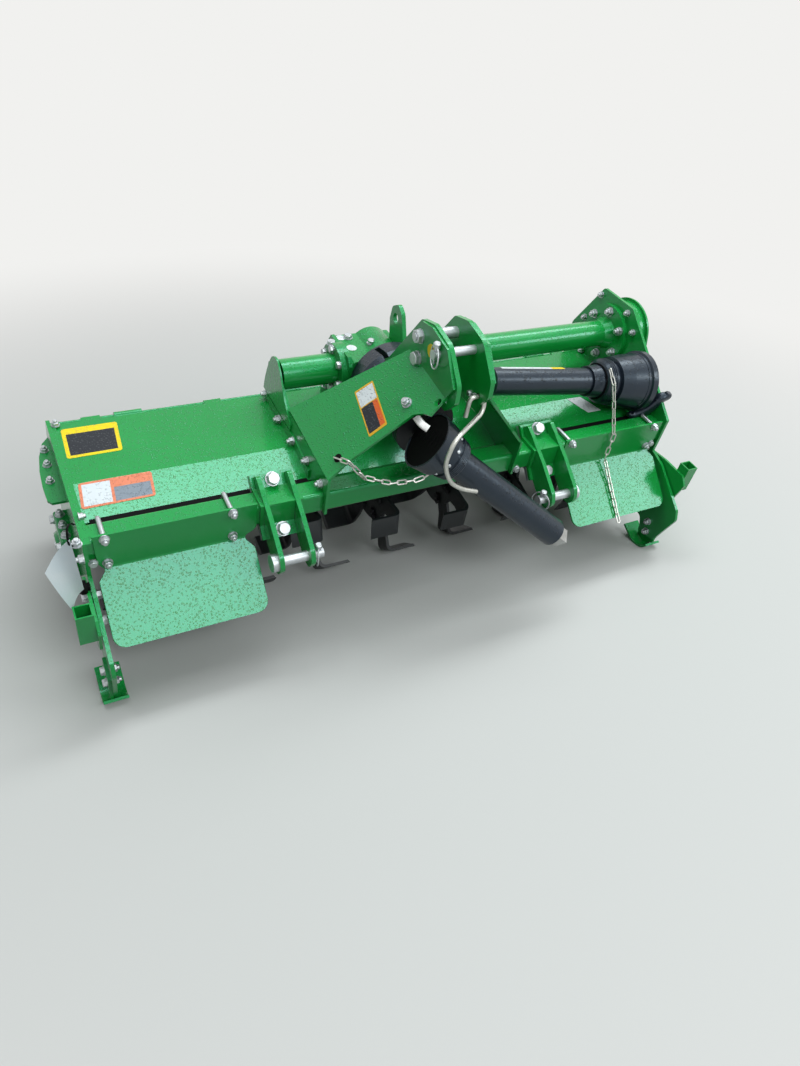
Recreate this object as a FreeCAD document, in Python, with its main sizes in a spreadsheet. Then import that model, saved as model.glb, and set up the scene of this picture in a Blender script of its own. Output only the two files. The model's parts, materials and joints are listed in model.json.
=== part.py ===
"""Rotary tiller for a three-point hitch: a parametric document, in millimetres.

The tiller is drawn in its own frame. X runs along the front tube to the right, seen from the
tractor. Y runs to the rear. Z runs up from the deck. The zero point is the middle of the front
tube's top front edge. At the end every piece gets one placement, which tips the machine forward
until it stands on its two skid shoes and on the lowest tines.
"""
import FreeCAD, Part
import os
import math
import Sketcher

V = FreeCAD.Vector
doc = FreeCAD.newDocument("rotary_tiller")
sheet = doc.addObject("Spreadsheet::Sheet", "sizes")

# Driving dimensions: name, value in millimetres or degrees, what it is.
SIZES = [
    ("tube_size", 50.8, "front tube, outside of the square"),
    ("tube_wall", 6.0, "front tube, wall"),
    ("tube_corner", 7.0, "front tube, outer corner radius"),
    ("inner_half", 722.0, "middle to the inner face of an end plate"),
    ("plate_gauge", 8.0, "end plate thickness"),
    ("deck_gauge", 4.0, "deck sheet thickness"),
    ("hem_y", 368.0, "rear edge of the deck"),
    ("hem_lip", 26.0, "depth of the deck's rear lip"),
    ("crease_y", 168.0, "line where the deck starts to slope"),
    ("deck_front_y", 73.0, "front edge of the deck"),
    ("deck_front_z", -20.0, "height of the deck's front edge"),
    ("deck_front_drop", 24.0, "depth of the deck's front lip"),
    ("deck_flange", 30.0, "height of the flange at a deck half's inner end"),
    ("bulkhead_x", 246.0, "middle to the outer face of a bulkhead"),
    ("brace_gauge", 6.0, "brace and bulkhead sheet thickness"),
    ("mast_x", 33.0, "middle to the inner face of a mast plate"),
    ("mast_gauge", 10.0, "mast plate thickness"),
    ("top_pin_y", -17.0, "top link pin, distance behind the zero point"),
    ("top_pin_z", 325.0, "top link pin, height"),
    ("top_pin_radius", 9.5, "top link pin, radius"),
    ("spacer_y", 54.0, "mast spacer bolt, distance behind the zero point"),
    ("spacer_z", 322.0, "mast spacer bolt, height"),
    ("spacer_radius", 12.0, "mast spacer sleeve, radius"),
    ("lobe_y", -66.0, "hook hole in the mast lobes"),
    ("lobe_z", 249.0, "hook hole in the mast lobes"),
    ("lobe_radius", 17.0, "round end of a mast lobe"),
    ("hook_hole", 6.5, "radius of the hook hole"),
    ("hitch_half", 341.5, "middle to the middle of a lower hitch clevis"),
    ("clevis_half", 28.5, "half of the gap between two hitch arms"),
    ("arm_gauge", 10.0, "hitch arm thickness"),
    ("lower_pin_y", -89.0, "lower hitch pin, distance behind the zero point"),
    ("lower_pin_z", -76.0, "lower hitch pin, height"),
    ("lower_pin_radius", 11.1, "lower hitch pin, radius"),
    ("arm_end", 27.0, "round end of a hitch arm"),
    ("jaw_gauge", 8.0, "clamp jaw thickness"),
    ("jaw_half", 46.0, "half length of a clamp jaw along the tube"),
    ("jaw_bolt", 53.0, "tube centre to a clamp bolt"),
    ("jaw_gap", 2.4, "gap between the two clamp jaws"),
    ("jaw_edge", 15.0, "clamp bolt to the end of a jaw"),
    ("strip_top", 15.0, "top of a deflector strip"),
    ("strip_bottom", -72.0, "bottom of a deflector strip"),
    ("flap_front_y", -126.0, "lower edge of a deflector flap"),
    ("flap_bottom_z", -178.0, "lower edge of a deflector flap"),
    ("flap_gap", 10.0, "end plate to the outer edge of a flap"),
    ("flap_width", 310.0, "deflector flap, width along the tube"),
    ("flap_gauge", 5.0, "deflector sheet thickness"),
    ("flap_corner", 24.0, "lower corner radius of a flap"),
    ("shaft_y", 300.0, "cross shaft, distance behind the zero point"),
    ("shaft_z", 100.0, "cross shaft and input shaft, height"),
    ("cover_radius", 35.0, "cover tubes of the cross shaft, outer radius"),
    ("cover_wall", 5.0, "cover tubes of the cross shaft, wall"),
    ("gearbox_left", 88.0, "gearbox casting, input shaft to its left side"),
    ("gearbox_right", 58.0, "gearbox casting, input shaft to its right side"),
    ("gearbox_depth", 116.0, "gearbox casting, front to rear"),
    ("gearbox_top", 48.0, "gearbox casting, shaft to its flat top"),
    ("gearbox_foot", 84.0, "gearbox casting, shaft to its foot"),
    ("barrel_radius", 52.0, "gearbox casting, round barrel over the input shaft"),
    ("barrel_rise", 10.0, "input shaft to the middle of the barrel"),
    ("neck_radius", 38.0, "gearbox neck about the input shaft, radius"),
    ("side_flange", 22.0, "gearbox side flange, depth along the shaft"),
    ("side_flange_radius", 58.0, "gearbox side flange, radius"),
    ("drive_flange_radius", 78.0, "drive tube flange, radius"),
    ("drive_flange_gauge", 12.0, "drive tube flange, thickness"),
    ("case_radius", 88.0, "gear case, round top"),
    ("case_foot_radius", 110.0, "gear case, round foot"),
    ("case_depth", 56.0, "gear case, depth outside the end plate"),
    ("case_cover_gauge", 7.0, "gear case cover, thickness"),
    ("rotor_y", 220.0, "rotor axis, distance behind the zero point"),
    ("rotor_z", -218.0, "rotor axis, height"),
    ("swing", 184.0, "rotor axis to the tines' outer face"),
    ("rotor_tube_radius", 40.0, "rotor tube, outer radius"),
    ("rotor_tube_wall", 8.0, "rotor tube, wall"),
    ("rotor_gap", 16.0, "rotor tube's end to an end plate"),
    ("disc_radius", 92.0, "tine disc, radius"),
    ("disc_gauge", 10.0, "tine disc, thickness"),
    ("disc_end", 97.0, "rotor tube's end to the outermost tine disc"),
    ("tine_gauge", 8.0, "tine bar thickness"),
    ("tine_width", 46.0, "tine bar width"),
    ("tine_reach", 84.0, "tine blade, reach to the side"),
    ("tine_bend", 22.0, "tine bend, outer radius"),
    ("tine_step", 10.0, "turn of each disc after the one before, degrees"),
    ("shoe_y", -100.0, "centre of the skid shoe's curve"),
    ("shoe_z", -289.0, "centre of the skid shoe's curve"),
    ("shoe_radius", 50.0, "outer radius of the skid shoe's curve"),
    ("shoe_gauge", 6.0, "skid shoe thickness"),
    ("shoe_width", 50.0, "skid shoe width"),
    ("socket_size", 32.0, "stand socket, outside of the square"),
    ("socket_wall", 3.0, "stand socket, wall"),
    ("socket_y", -108.0, "stand socket, middle"),
    ("socket_top", -60.0, "stand socket, top"),
    ("socket_length", 74.0, "stand socket, length"),
    ("bracket_gauge", 6.0, "socket bracket thickness"),
    ("flange_lap", 8.0, "left end plate's top flange, lap over the deck"),
    ("shelf_z", -70.0, "left end plate's curved shelf, height"),
    ("bracket_gap", 3.0, "end plate to the socket bracket"),
    ("input_radius", 19.0, "input shaft, radius"),
    ("clutch_radius", 70.0, "clutch disc on the input shaft, radius"),
    ("ball_radius", 24.0, "universal joint's round block, radius"),
    ("journal_radius", 22.0, "driveline journal in its guard, radius"),
    ("shield_radius", 90.0, "guard of the input shaft, radius at the gearbox"),
    ("shield_length", 74.0, "guard of the input shaft, length"),
    ("guard_radius", 33.5, "driveline guard tube, outer radius"),
    ("guard_wall", 3.0, "driveline guard tube, wall"),
    ("bell_radius", 56.0, "front driveline bell, radius"),
    ("profile_size", 34.0, "driveline profile, outside of the square"),
    ("profile_out", 34.0, "driveline profile, length past the guard"),
    ("guard_reach", 365.0, "universal joint to the end of the front guard"),
    ("gate_gauge", 4.0, "tailgate sheet thickness"),
    ("gate_length", 300.0, "tailgate, hinge to its lower edge"),
    ("gate_angle", 30.0, "tailgate from the vertical at rest, degrees"),
    ("gate_gap", 9.0, "tailgate's end to an end plate"),
    ("hinge_radius", 5.0, "tailgate hinge rod, radius"),
    ("fit_gap", 0.06, "running clearance of a pin or rod"),
    ("seat_gap", 0.3, "clearance where a piece is cut out for its neighbour"),
    ("link_pitch", 20.0, "guard chain, inside length of a link"),
    ("link_wire", 3.6, "guard chain, wire diameter"),
    ("hook_wire", 9.5, "driveline hook, rod diameter"),
]
for row, (alias, value, note) in enumerate(SIZES, start=1):
    sheet.set(f"A{row}", note)
    sheet.set(f"B{row}", str(value))
    sheet.setAlias(f"B{row}", alias)
doc.recompute()


def size(alias):
    """The value of one named cell."""
    return float(getattr(sheet, alias))


def cell(text):
    """An expression in which every named size is read from the sheet."""
    names = sorted((s[0] for s in SIZES), key=len, reverse=True)
    out = ""
    i = 0
    while i < len(text):
        hit = next((n for n in names if text.startswith(n, i)), None)
        if hit:
            out += "sizes." + hit
            i += len(hit)
        else:
            out += text[i]
            i += 1
    return out


def worth(text):
    """The number that such an expression gives: signed terms, each a product of numbers and sizes."""
    total = 0.0
    for term in text.replace("-", "+-").split("+"):
        term = term.strip()
        if not term:
            continue
        sign = -1.0 if term.startswith("-") else 1.0
        product = sign
        for factor in term.lstrip("-").split("*"):
            factor = factor.strip()
            top, _, bottom = factor.partition("/")
            number = size(top.strip()) if top.strip()[0].isalpha() else float(top)
            if bottom:
                number /= float(bottom)
            product *= number
        total += product
    return total


PIECES = {}


def keep(node, item, local=None):
    """Notes a finished sub-part under its node name, with its own place in the tiller's frame."""
    item.Label = node
    PIECES[node] = (item, local or item.Placement.copy())
    return item


def plane_of(body, role):
    return next(f for f in body.Origin.OriginFeatures if f.Role == role)


def add_outline(body, name, role, corners, start, holes=()):
    """A sketch with one closed outline and round holes, each place bound to the sheet."""
    sketch = body.newObject("Sketcher::SketchObject", name)
    sketch.AttachmentSupport = [(plane_of(body, role), "")]
    sketch.MapMode = "FlatFace"
    sketch.AttachmentOffset = FreeCAD.Placement(V(0, 0, worth(start)), FreeCAD.Rotation())
    sketch.setExpression("AttachmentOffset.Base.z", cell(start))
    points = [V(worth(a), worth(b), 0) for a, b in corners]
    count = len(points)
    for i in range(count):
        sketch.addGeometry(Part.LineSegment(points[i], points[(i + 1) % count]), False)
    for i in range(count):
        sketch.addConstraint(Sketcher.Constraint("Coincident", i, 2, (i + 1) % count, 1))
    for i, (a, b) in enumerate(corners):
        for kind, text in (("DistanceX", a), ("DistanceY", b)):
            number = sketch.addConstraint(Sketcher.Constraint(kind, -1, 1, i, 1, worth(text)))
            sketch.setExpression(f"Constraints[{number}]", cell(text))
    for a, b, r in holes:
        place = sketch.addGeometry(Part.Circle(V(worth(a), worth(b), 0), V(0, 0, 1), worth(r)), False)
        for kind, text in (("DistanceX", a), ("DistanceY", b)):
            number = sketch.addConstraint(Sketcher.Constraint(kind, -1, 1, place, 3, worth(text)))
            sketch.setExpression(f"Constraints[{number}]", cell(text))
        number = sketch.addConstraint(Sketcher.Constraint("Radius", place, worth(r)))
        sketch.setExpression(f"Constraints[{number}]", cell(r))
    return sketch


def add_pad(body, sketch, depth):
    """A pad along the sketch's normal."""
    pad = body.newObject("PartDesign::Pad", sketch.Name + "_pad")
    pad.Profile = sketch
    pad.Length = worth(depth)
    pad.setExpression("Length", cell(depth))
    sketch.Visibility = False
    doc.recompute()
    return pad


def round_corners(body, base, axis, table):
    """Fillets on the edges along one axis that stand at the given corners: a, b and radius."""
    across = [i for i in range(3) if i != axis]
    for number, (a, b, r) in enumerate(table):
        want = (worth(a), worth(b))
        names = []
        for i, edge in enumerate(base.Shape.Edges, start=1):
            ends = [v.Point for v in edge.Vertexes]
            if len(ends) != 2 or (ends[1] - ends[0]).Length < 1e-6:
                continue
            run = (ends[1] - ends[0]).normalize()
            if abs(run[axis]) < 0.999:
                continue
            if all(abs(ends[0][across[k]] - want[k]) < 0.01 for k in range(2)):
                names.append(f"Edge{i}")
        fillet = body.newObject("PartDesign::Fillet", f"{body.Name}_round{number}")
        fillet.Base = (base, names)
        fillet.Radius = worth(r)
        fillet.setExpression("Radius", cell(r))
        doc.recompute()
        base = fillet
    return base


def flat_plate(node, corners, start, depth, rounds=(), holes=(), role="YZ_Plane"):
    """A plate cut to an outline. On the YZ plane the corners are (Y, Z) and it grows along +X."""
    body = doc.addObject("PartDesign::Body", node)
    sketch = add_outline(body, node + "_outline", role, corners, start, holes)
    pad = add_pad(body, sketch, depth)
    axis = {"YZ_Plane": 0, "XZ_Plane": 1, "XY_Plane": 2}[role]
    round_corners(body, pad, axis, rounds)
    return body


def turned(node, profile):
    """A turned piece about the sketch's upright axis; the profile is (radius, place) corners."""
    body = doc.addObject("PartDesign::Body", node)
    sketch = add_outline(body, node + "_profile", "XZ_Plane", profile, "0")
    turn = body.newObject("PartDesign::Revolution", node + "_turn")
    turn.Profile = sketch
    turn.ReferenceAxis = (sketch, ["V_Axis"])
    turn.Angle = 360.0
    doc.recompute()
    return body


def feature(node, shape):
    """A piece whose shape is worked out from the sheet's values below."""
    item = doc.addObject("Part::Feature", node)
    item.Shape = shape
    return item


def along(start, direction):
    """A placement that carries the Z axis onto a direction, from a starting point."""
    return FreeCAD.Placement(V(*start), FreeCAD.Rotation(V(0, 0, 1), V(*direction)))


def slab(points, thickness):
    """A flat panel through points in space, given its thickness along a vector."""
    wire = Part.makePolygon([V(*p) for p in points] + [V(*points[0])])
    return Part.Face(wire).extrude(V(*thickness))


def rod(path, radius, bends):
    """A round bar along straight runs joined by tangent arcs of the given bend radii."""
    points = [V(*p) for p in path]
    edges = []
    last = points[0]
    for i in range(1, len(points) - 1):
        back = (points[i - 1] - points[i]).normalize()
        ahead = (points[i + 1] - points[i]).normalize()
        half = back.getAngle(ahead) / 2
        reach = bends[i - 1] / math.tan(half)
        start = points[i] + back * reach
        end = points[i] + ahead * reach
        middle = (back + ahead).normalize()
        mid = points[i] + middle * (bends[i - 1] / math.sin(half) - bends[i - 1])
        edges.append(Part.LineSegment(last, start).toShape())
        edges.append(Part.Arc(start, mid, end).toShape())
        last = end
    edges.append(Part.LineSegment(last, points[-1]).toShape())
    wire = Part.Wire(edges)
    section = Part.Wire(Part.makeCircle(radius, points[0], (points[1] - points[0]).normalize()))
    return wire.makePipeShell([section], True, False)


tube = size("tube_size")
inner = size("inner_half")
shaft_y = size("shaft_y")
shaft_z = size("shaft_z")
rotor_y = size("rotor_y")
rotor_z = size("rotor_z")


# The front tube: a square tube between the two end plates.
def make_front_tube():
    body = doc.addObject("PartDesign::Body", "front_tube")
    corners = [("0", "0"), ("tube_size", "0"), ("tube_size", "-tube_size"), ("0", "-tube_size")]
    pad = add_pad(body, add_outline(body, "tube_outside", "YZ_Plane", corners, "-inner_half"), "2*inner_half")
    round_corners(body, pad, 0, [(a, b, "tube_corner") for a, b in corners])
    low = "tube_wall-tube_size"
    hollow = [("tube_wall", "-tube_wall"), ("tube_size-tube_wall", "-tube_wall"),
              ("tube_size-tube_wall", low), ("tube_wall", low)]
    bore = add_outline(body, "tube_inside", "YZ_Plane", hollow, "-inner_half")
    pocket = body.newObject("PartDesign::Pocket", "tube_bore")
    pocket.Profile = bore
    pocket.Reversed = True
    pocket.Length = worth("2*inner_half")
    pocket.setExpression("Length", cell("2*inner_half"))
    doc.recompute()
    keep("front_tube", body)


# The deck: one folded sheet section, used for the left half, the right half and the middle.
DECK_SECTION = [
    ("hem_y", "-hem_lip"), ("hem_y", "0"), ("crease_y", "0"), ("deck_front_y", "deck_front_z"),
    ("deck_front_y", "deck_front_z-deck_front_drop"),
    ("deck_front_y+deck_gauge", "deck_front_z-deck_front_drop"),
    ("deck_front_y+deck_gauge", "deck_front_z-deck_gauge"), ("crease_y", "-deck_gauge"),
    ("hem_y-deck_gauge", "-deck_gauge"), ("hem_y-deck_gauge", "-hem_lip"),
]
DECK_UPSTAND = [
    ("hem_y-20", "-1"), ("hem_y-20", "deck_flange-8"), ("crease_y", "deck_flange-8"),
    ("deck_front_y+6", "deck_front_z+deck_flange-8"), ("deck_front_y+6", "deck_front_z-1"), ("crease_y", "-1"),
]


def make_deck():
    halves = [("deck_left", "-inner_half", "-bulkhead_x-deck_gauge"), ("deck_right", "bulkhead_x", "bulkhead_x")]
    for node, start, flange in halves:
        body = doc.addObject("PartDesign::Body", node)
        sketch = add_outline(body, node + "_section", "YZ_Plane", DECK_SECTION, start)
        add_pad(body, sketch, "inner_half-bulkhead_x")
        stand_up = add_outline(body, node + "_upstand", "YZ_Plane", DECK_UPSTAND, flange)
        add_pad(body, stand_up, "deck_gauge")
        keep(node, body)
    middle = doc.addObject("PartDesign::Body", "deck_centre")
    sketch = add_outline(middle, "deck_centre_section", "YZ_Plane", DECK_SECTION, "brace_gauge-bulkhead_x")
    add_pad(middle, sketch, "2*bulkhead_x-2*brace_gauge")
    keep("deck_centre", middle)


# The end plates: a nose that reaches forward and down to the skid shoe, and the rotor's side wall.
NOSE = [
    ("-8", "-81"), ("-53", "-95"), ("-160", "-169"), ("-172", "-196"), ("-150", "-262"), ("-138", "-300"),
    ("-86", "-308"), ("-66", "-270"), ("-10", "-262"), ("70", "-304"), ("360", "-304"), ("430", "-240"),
]
NOSE_ROUNDS = [("-160", "-169", "16"), ("-172", "-196", "20"), ("-66", "-270", "14"),
               ("430", "-240", "30"), ("360", "-304", "30")]
PLATE_TOPS = {
    "left": [("430", "-70"), ("hem_y+16", "4"), ("-8", "4")],
    "right": [("430", "-70"), ("440", "55"), ("364", "199"), ("243", "202"), ("-8", "18")],
}
PLATE_TOP_ROUNDS = {
    "left": [("hem_y+16", "4", "12")],
    "right": [("364", "199", "10"), ("243", "202", "14"), ("440", "55", "20")],
}


# The curved shelf outside the left plate, as (X, Y).
SHELF = [
    ("-inner_half-2", "196"), ("-inner_half-plate_gauge-26", "196"), ("-inner_half-plate_gauge-34", "206"),
    ("-inner_half-plate_gauge-36", "250"), ("-inner_half-plate_gauge-34", "300"),
    ("-inner_half-plate_gauge-27", "350"), ("-inner_half-plate_gauge-15", "392"), ("-inner_half-2", "420"),
]


def make_end_plates():
    for side, start in (("left", "-inner_half-plate_gauge"), ("right", "inner_half")):
        corners = NOSE + PLATE_TOPS[side]
        holes = [("rotor_y", "rotor_z", "rotor_tube_radius+6")]
        if side == "right":
            holes.append(("shaft_y", "shaft_z", "cover_radius"))
        body = flat_plate("end_plate_" + side, corners, start, "plate_gauge",
                          NOSE_ROUNDS + PLATE_TOP_ROUNDS[side], holes)
        if side == "left":
            lap, edge = "-inner_half+flange_lap", "-inner_half-plate_gauge"
            flange = [(lap, "-8"), (edge, "-8"), (edge, "hem_y"), (lap, "hem_y")]
            add_pad(body, add_outline(body, "top_flange", "XY_Plane", flange, "0"), "4")
            add_pad(body, add_outline(body, "curved_shelf", "XY_Plane", SHELF, "shelf_z"), "6")
        keep("end_plate_" + side, body)


# The braces: a bulkhead beside the deck's middle, a slanting panel and a tab on the mast plate.
def make_brace(side, hand):
    x = hand * size("bulkhead_x")
    gauge = size("brace_gauge")
    mast = hand * (size("mast_x") + size("mast_gauge"))
    tab = mast + hand * gauge
    clear = size("seat_gap")
    foot = [(x, -12, -tube + 2), (x, -12, 46), (x, 220, 60), (x, 255, 84), (x, 330, 116),
            (x, 352, 104), (x, size("hem_y") - 2, 26), (x, size("hem_y") - 2, clear), (x, size("crease_y"), clear),
            (x, size("deck_front_y"), size("deck_front_z") + clear), (x, tube + clear, size("deck_front_z") + clear),
            (x, tube + clear, clear), (x, -clear, clear), (x, -clear, -tube + 2)]
    flange = slab(foot, (-hand * gauge, 0, 0))
    low = [(x, -10, 46), (hand * 207, -12, 100), (hand * 96, -44, 222), (hand * 84, -60, 238),
           (hand * 78, -76, 240), (tab, -72, 262), (tab, 84, 274), (x, 218, 66)]
    first, second, third = V(*low[0]), V(*low[-2]), V(*low[-1])
    normal = (second - first).cross(third - first).normalize()
    if normal.z < 0:
        normal = -normal
    flat = []
    for p in low:
        point = V(*p)
        lift = (first - point).dot(normal) / normal.z
        flat.append((point.x, point.y, point.z + lift))
    panel = slab(flat, tuple(-normal * gauge))
    edge_low, edge_high = V(*flat[5]), V(*flat[6])
    upright = [(tab, edge_low.y, edge_low.z - 6), (tab, edge_low.y, edge_low.z), (tab, -90, 292), (tab, -42, 350),
               (tab, 20, 360), (tab, 58, 352), (tab, 70, 330), (tab, edge_high.y, edge_high.z),
               (tab, edge_high.y, edge_high.z - 6)]
    cheek = slab(upright, (-hand * gauge, 0, 0))
    solid = flange.fuse([panel, cheek]).removeSplitter()
    tools = []
    for y, z, r in ((size("top_pin_y"), size("top_pin_z"), size("top_pin_radius") + size("fit_gap")),
                    (size("spacer_y"), size("spacer_z"), 8.0)):
        tools.append(Part.makeCylinder(r, 60, V(tab - 30, y, z), V(1, 0, 0)))
    tools.append(Part.makeCylinder(size("hook_hole"), 60, V(hand * 70 - 30, size("lobe_y"), size("lobe_z")), V(1, 0, 0)))
    chain = V(hand * 219, 16, 0)
    chain.z = first.z + (normal.x * (first.x - chain.x) + normal.y * (first.y - chain.y)) / normal.z
    tools.append(Part.makeCylinder(6.5, 40, chain - normal * 20, normal))
    if hand > 0:
        room = size("cover_radius") + clear
        tools.append(Part.makeCylinder(room, 60, V(x - 30, shaft_y, shaft_z), V(1, 0, 0)))
    for tool in tools:
        solid = solid.cut(tool)
    keep("brace_" + side, feature("brace_" + side, solid))
    return chain + normal * 6.0


# The mast plates: they carry the top link pin and run back to the gearbox.
FRONT = "shaft_y-gearbox_depth/2-seat_gap"
MAST = [
    ("spacer_y+16", "spacer_z+28"), ("top_pin_y+41", "top_pin_z+39"), ("top_pin_y-21", "top_pin_z+29"),
    ("top_pin_y-77", "top_pin_z-27"), ("lobe_y-32", "lobe_z+13"), ("lobe_y-6", "lobe_z-20"),
    ("lobe_y+10", "lobe_z-20"), ("lobe_y+32", "lobe_z-13"), ("shaft_y/2", "shaft_z+18"), (FRONT, "shaft_z+18"),
    (FRONT, "shaft_z+42"), ("shaft_y/2+20", "spacer_z-122"),
]
MAST_ROUNDS = [("spacer_y+16", "spacer_z+28", "12"), ("top_pin_y+41", "top_pin_z+39", "26"),
               ("top_pin_y-21", "top_pin_z+29", "30"), ("top_pin_y-77", "top_pin_z-27", "26"),
               ("lobe_y-32", "lobe_z+13", "14"), ("lobe_y-6", "lobe_z-20", "9"), ("lobe_y+10", "lobe_z-20", "6"),
               ("shaft_y/2", "shaft_z+18", "30"), ("shaft_y/2+20", "spacer_z-122", "24")]
MAST_REACH = "2*mast_x+2*mast_gauge+2*brace_gauge"


def make_mast():
    holes = [("top_pin_y", "top_pin_z", "top_pin_radius+fit_gap"), ("spacer_y", "spacer_z", "8"),
             ("lobe_y", "lobe_z", "hook_hole")]
    for side, start in (("left", "-mast_x-mast_gauge"), ("right", "mast_x")):
        keep("mast_plate_" + side, flat_plate("mast_plate_" + side, MAST, start, "mast_gauge", MAST_ROUNDS, holes))
    reach = size("mast_x") + size("mast_gauge") + size("brace_gauge")
    cheeks = "mast_gauge+brace_gauge"
    spacer = turned("mast_spacer", [
        ("0", "-15"), ("7.7", "-15"), ("7.7", "-10"), ("12", "-10"), ("12", "0"), ("7.7", "0"), ("7.7", cheeks),
        ("spacer_radius", cheeks), ("spacer_radius", cheeks + "+2*mast_x"), ("7.7", cheeks + "+2*mast_x"),
        ("7.7", MAST_REACH), ("12", MAST_REACH), ("12", MAST_REACH + "+10"), ("7.7", MAST_REACH + "+10"),
        ("7.7", MAST_REACH + "+15"), ("0", MAST_REACH + "+15")])
    keep("mast_spacer", spacer, along((-reach, size("spacer_y"), size("spacer_z")), (1, 0, 0)))
    pin = turned("top_link_pin", [
        ("0", "-13"), ("top_pin_radius", "-13"), ("top_pin_radius", MAST_REACH), ("15", MAST_REACH),
        ("15", MAST_REACH + "+10"), ("0", MAST_REACH + "+10")])
    keep("top_link_pin", pin, along((-reach, size("top_pin_y"), size("top_pin_z")), (1, 0, 0)))


# A hitch clevis: two arms on a front jaw; a rear jaw and two bolts clamp it to the tube.
ARM = [
    ("62", "26"), ("50", "40"), ("22", "26"), ("-6", "10"), ("-36", "-6"),
    ("lower_pin_y-16", "lower_pin_z+24"), ("lower_pin_y-26", "lower_pin_z"), ("lower_pin_y-14", "lower_pin_z-24"),
    ("lower_pin_y+14", "lower_pin_z-26"), ("-14", "-60"), ("-8", "-50"), ("-8", "8"), ("40", "8"),
]
ARM_ROUNDS = [("50", "40", "10"), ("lower_pin_y-16", "lower_pin_z+24", "20"), ("lower_pin_y-26", "lower_pin_z", "20"),
              ("lower_pin_y-14", "lower_pin_z-24", "18"), ("lower_pin_y+14", "lower_pin_z-26", "18")]


def jaw(hand):
    """One clamp jaw about the tube: hand 1 sits on its front top corner, -1 on the opposite one."""
    gauge = size("jaw_gauge")
    slit = size("jaw_gap") / math.sqrt(2)
    centre = V(0, tube / 2, -tube / 2)
    run = V(0, 1, 1).normalize()
    lift = V(0, -1, 1).normalize()
    low = size("jaw_gap") / 2
    end = centre + run * (size("jaw_bolt") + size("jaw_edge"))
    half = [V(0, -gauge, gauge), V(0, tube - slit - gauge * (math.sqrt(2) - 1), gauge), end + lift * (low + gauge),
            end + lift * low, V(0, tube - slit, 0), V(0, 0, 0)]
    points = half + [V(0, -p.z, -p.y) for p in half[-2:0:-1]]
    if hand < 0:
        points = [centre * 2 - p for p in points]
    reach = size("jaw_half")
    return slab([(-reach, p.y, p.z) for p in points], (2 * reach, 0, 0))


def make_clevis(side, hand):
    middle = hand * size("hitch_half")
    reach = size("clevis_half")
    gauge = size("arm_gauge")
    hole = size("lower_pin_radius") + size("fit_gap")
    arms = []
    for start in (-reach - gauge, reach):
        arm = slab([(start, worth(y), worth(z)) for y, z in ARM], (gauge, 0, 0))
        for y, z, r in ARM_ROUNDS:
            edge = next(e for e in arm.Edges if abs(e.Length - gauge) < 0.01
                        and abs(e.CenterOfMass.y - worth(y)) + abs(e.CenterOfMass.z - worth(z)) < 0.01)
            arm = arm.makeFillet(worth(r), [edge])
        at = V(start, size("lower_pin_y"), size("lower_pin_z"))
        arms.append(arm.cut(Part.makeCylinder(hole, gauge, at, V(1, 0, 0))))
    front = jaw(1)
    diagonal = V(0, 1, 1).normalize()
    away = V(0, -1, 1).normalize()
    centre = V(0, tube / 2, -tube / 2)
    bolts = []
    for sign in (1, -1):
        seat = centre + diagonal * (sign * size("jaw_bolt"))
        front = front.cut(Part.makeCylinder(8.3, 200, seat - away * 100, away))
        bolts.append(seat)
    shape = front.fuse(arms).removeSplitter()
    shape.translate(V(middle, 0, 0))
    keep("hitch_clevis_" + side, feature("hitch_clevis_" + side, shape))
    rear = jaw(-1)
    reach = size("jaw_gauge") + size("jaw_gap") / 2 + 16
    parts = []
    for seat in bolts:
        rear = rear.cut(Part.makeCylinder(8.0, 200, seat - away * 100, away))
        parts.append(Part.makeCylinder(8.0, 2 * reach, seat - away * reach, away))
    rear = rear.fuse(parts)
    rear.translate(V(middle, 0, 0))
    keep("hitch_clamp_" + side, feature("hitch_clamp_" + side, rear))
    arms_reach = "2*clevis_half+2*arm_gauge"
    pin = turned("lower_pin_" + side, [
        ("0", "-24"), ("lower_pin_radius", "-24"), ("lower_pin_radius", arms_reach), ("19", arms_reach),
        ("19", arms_reach + "+12"), ("0", arms_reach + "+12")])
    outer = size("clevis_half") + size("arm_gauge")
    keep("lower_pin_" + side, pin, along((middle - hand * outer, size("lower_pin_y"), size("lower_pin_z")),
                                         (hand, 0, 0)))


# The deflectors: a strip against the tube's front and a flap that slants forward.
def make_deflector(side, hand):
    gauge = size("flap_gauge")
    low, high = size("strip_bottom"), size("strip_top")
    outside = inner - size("flap_gap")
    inside = outside - size("flap_width")
    notch = 18.0
    strip = slab([(hand * (inside - 8), 0, high), (hand * outside, 0, high), (hand * (outside - 6), 0, low),
                  (hand * (inside + notch), 0, low), (hand * (inside - 8), 0, low + 24)], (0, -gauge, 0))
    run = V(0, size("flap_front_y"), size("flap_bottom_z") - low)
    normal = V(0, run.z, -run.y).normalize()
    corner = size("flap_corner")
    length = run.Length
    step = run.normalize()
    outline = [(inside + notch, 0.0), (inside, 26.0), (inside, length - corner), (inside + corner, length),
               (outside - corner, length), (outside, length - corner), (outside, 26.0), (outside - notch, 0.0)]
    flat = [(hand * x, step.y * d, low + step.z * d) for x, d in outline]
    flap = slab(flat, tuple(normal * gauge))
    shape = strip.fuse(flap).removeSplitter()
    keep("deflector_" + side, feature("deflector_" + side, shape))


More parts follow.
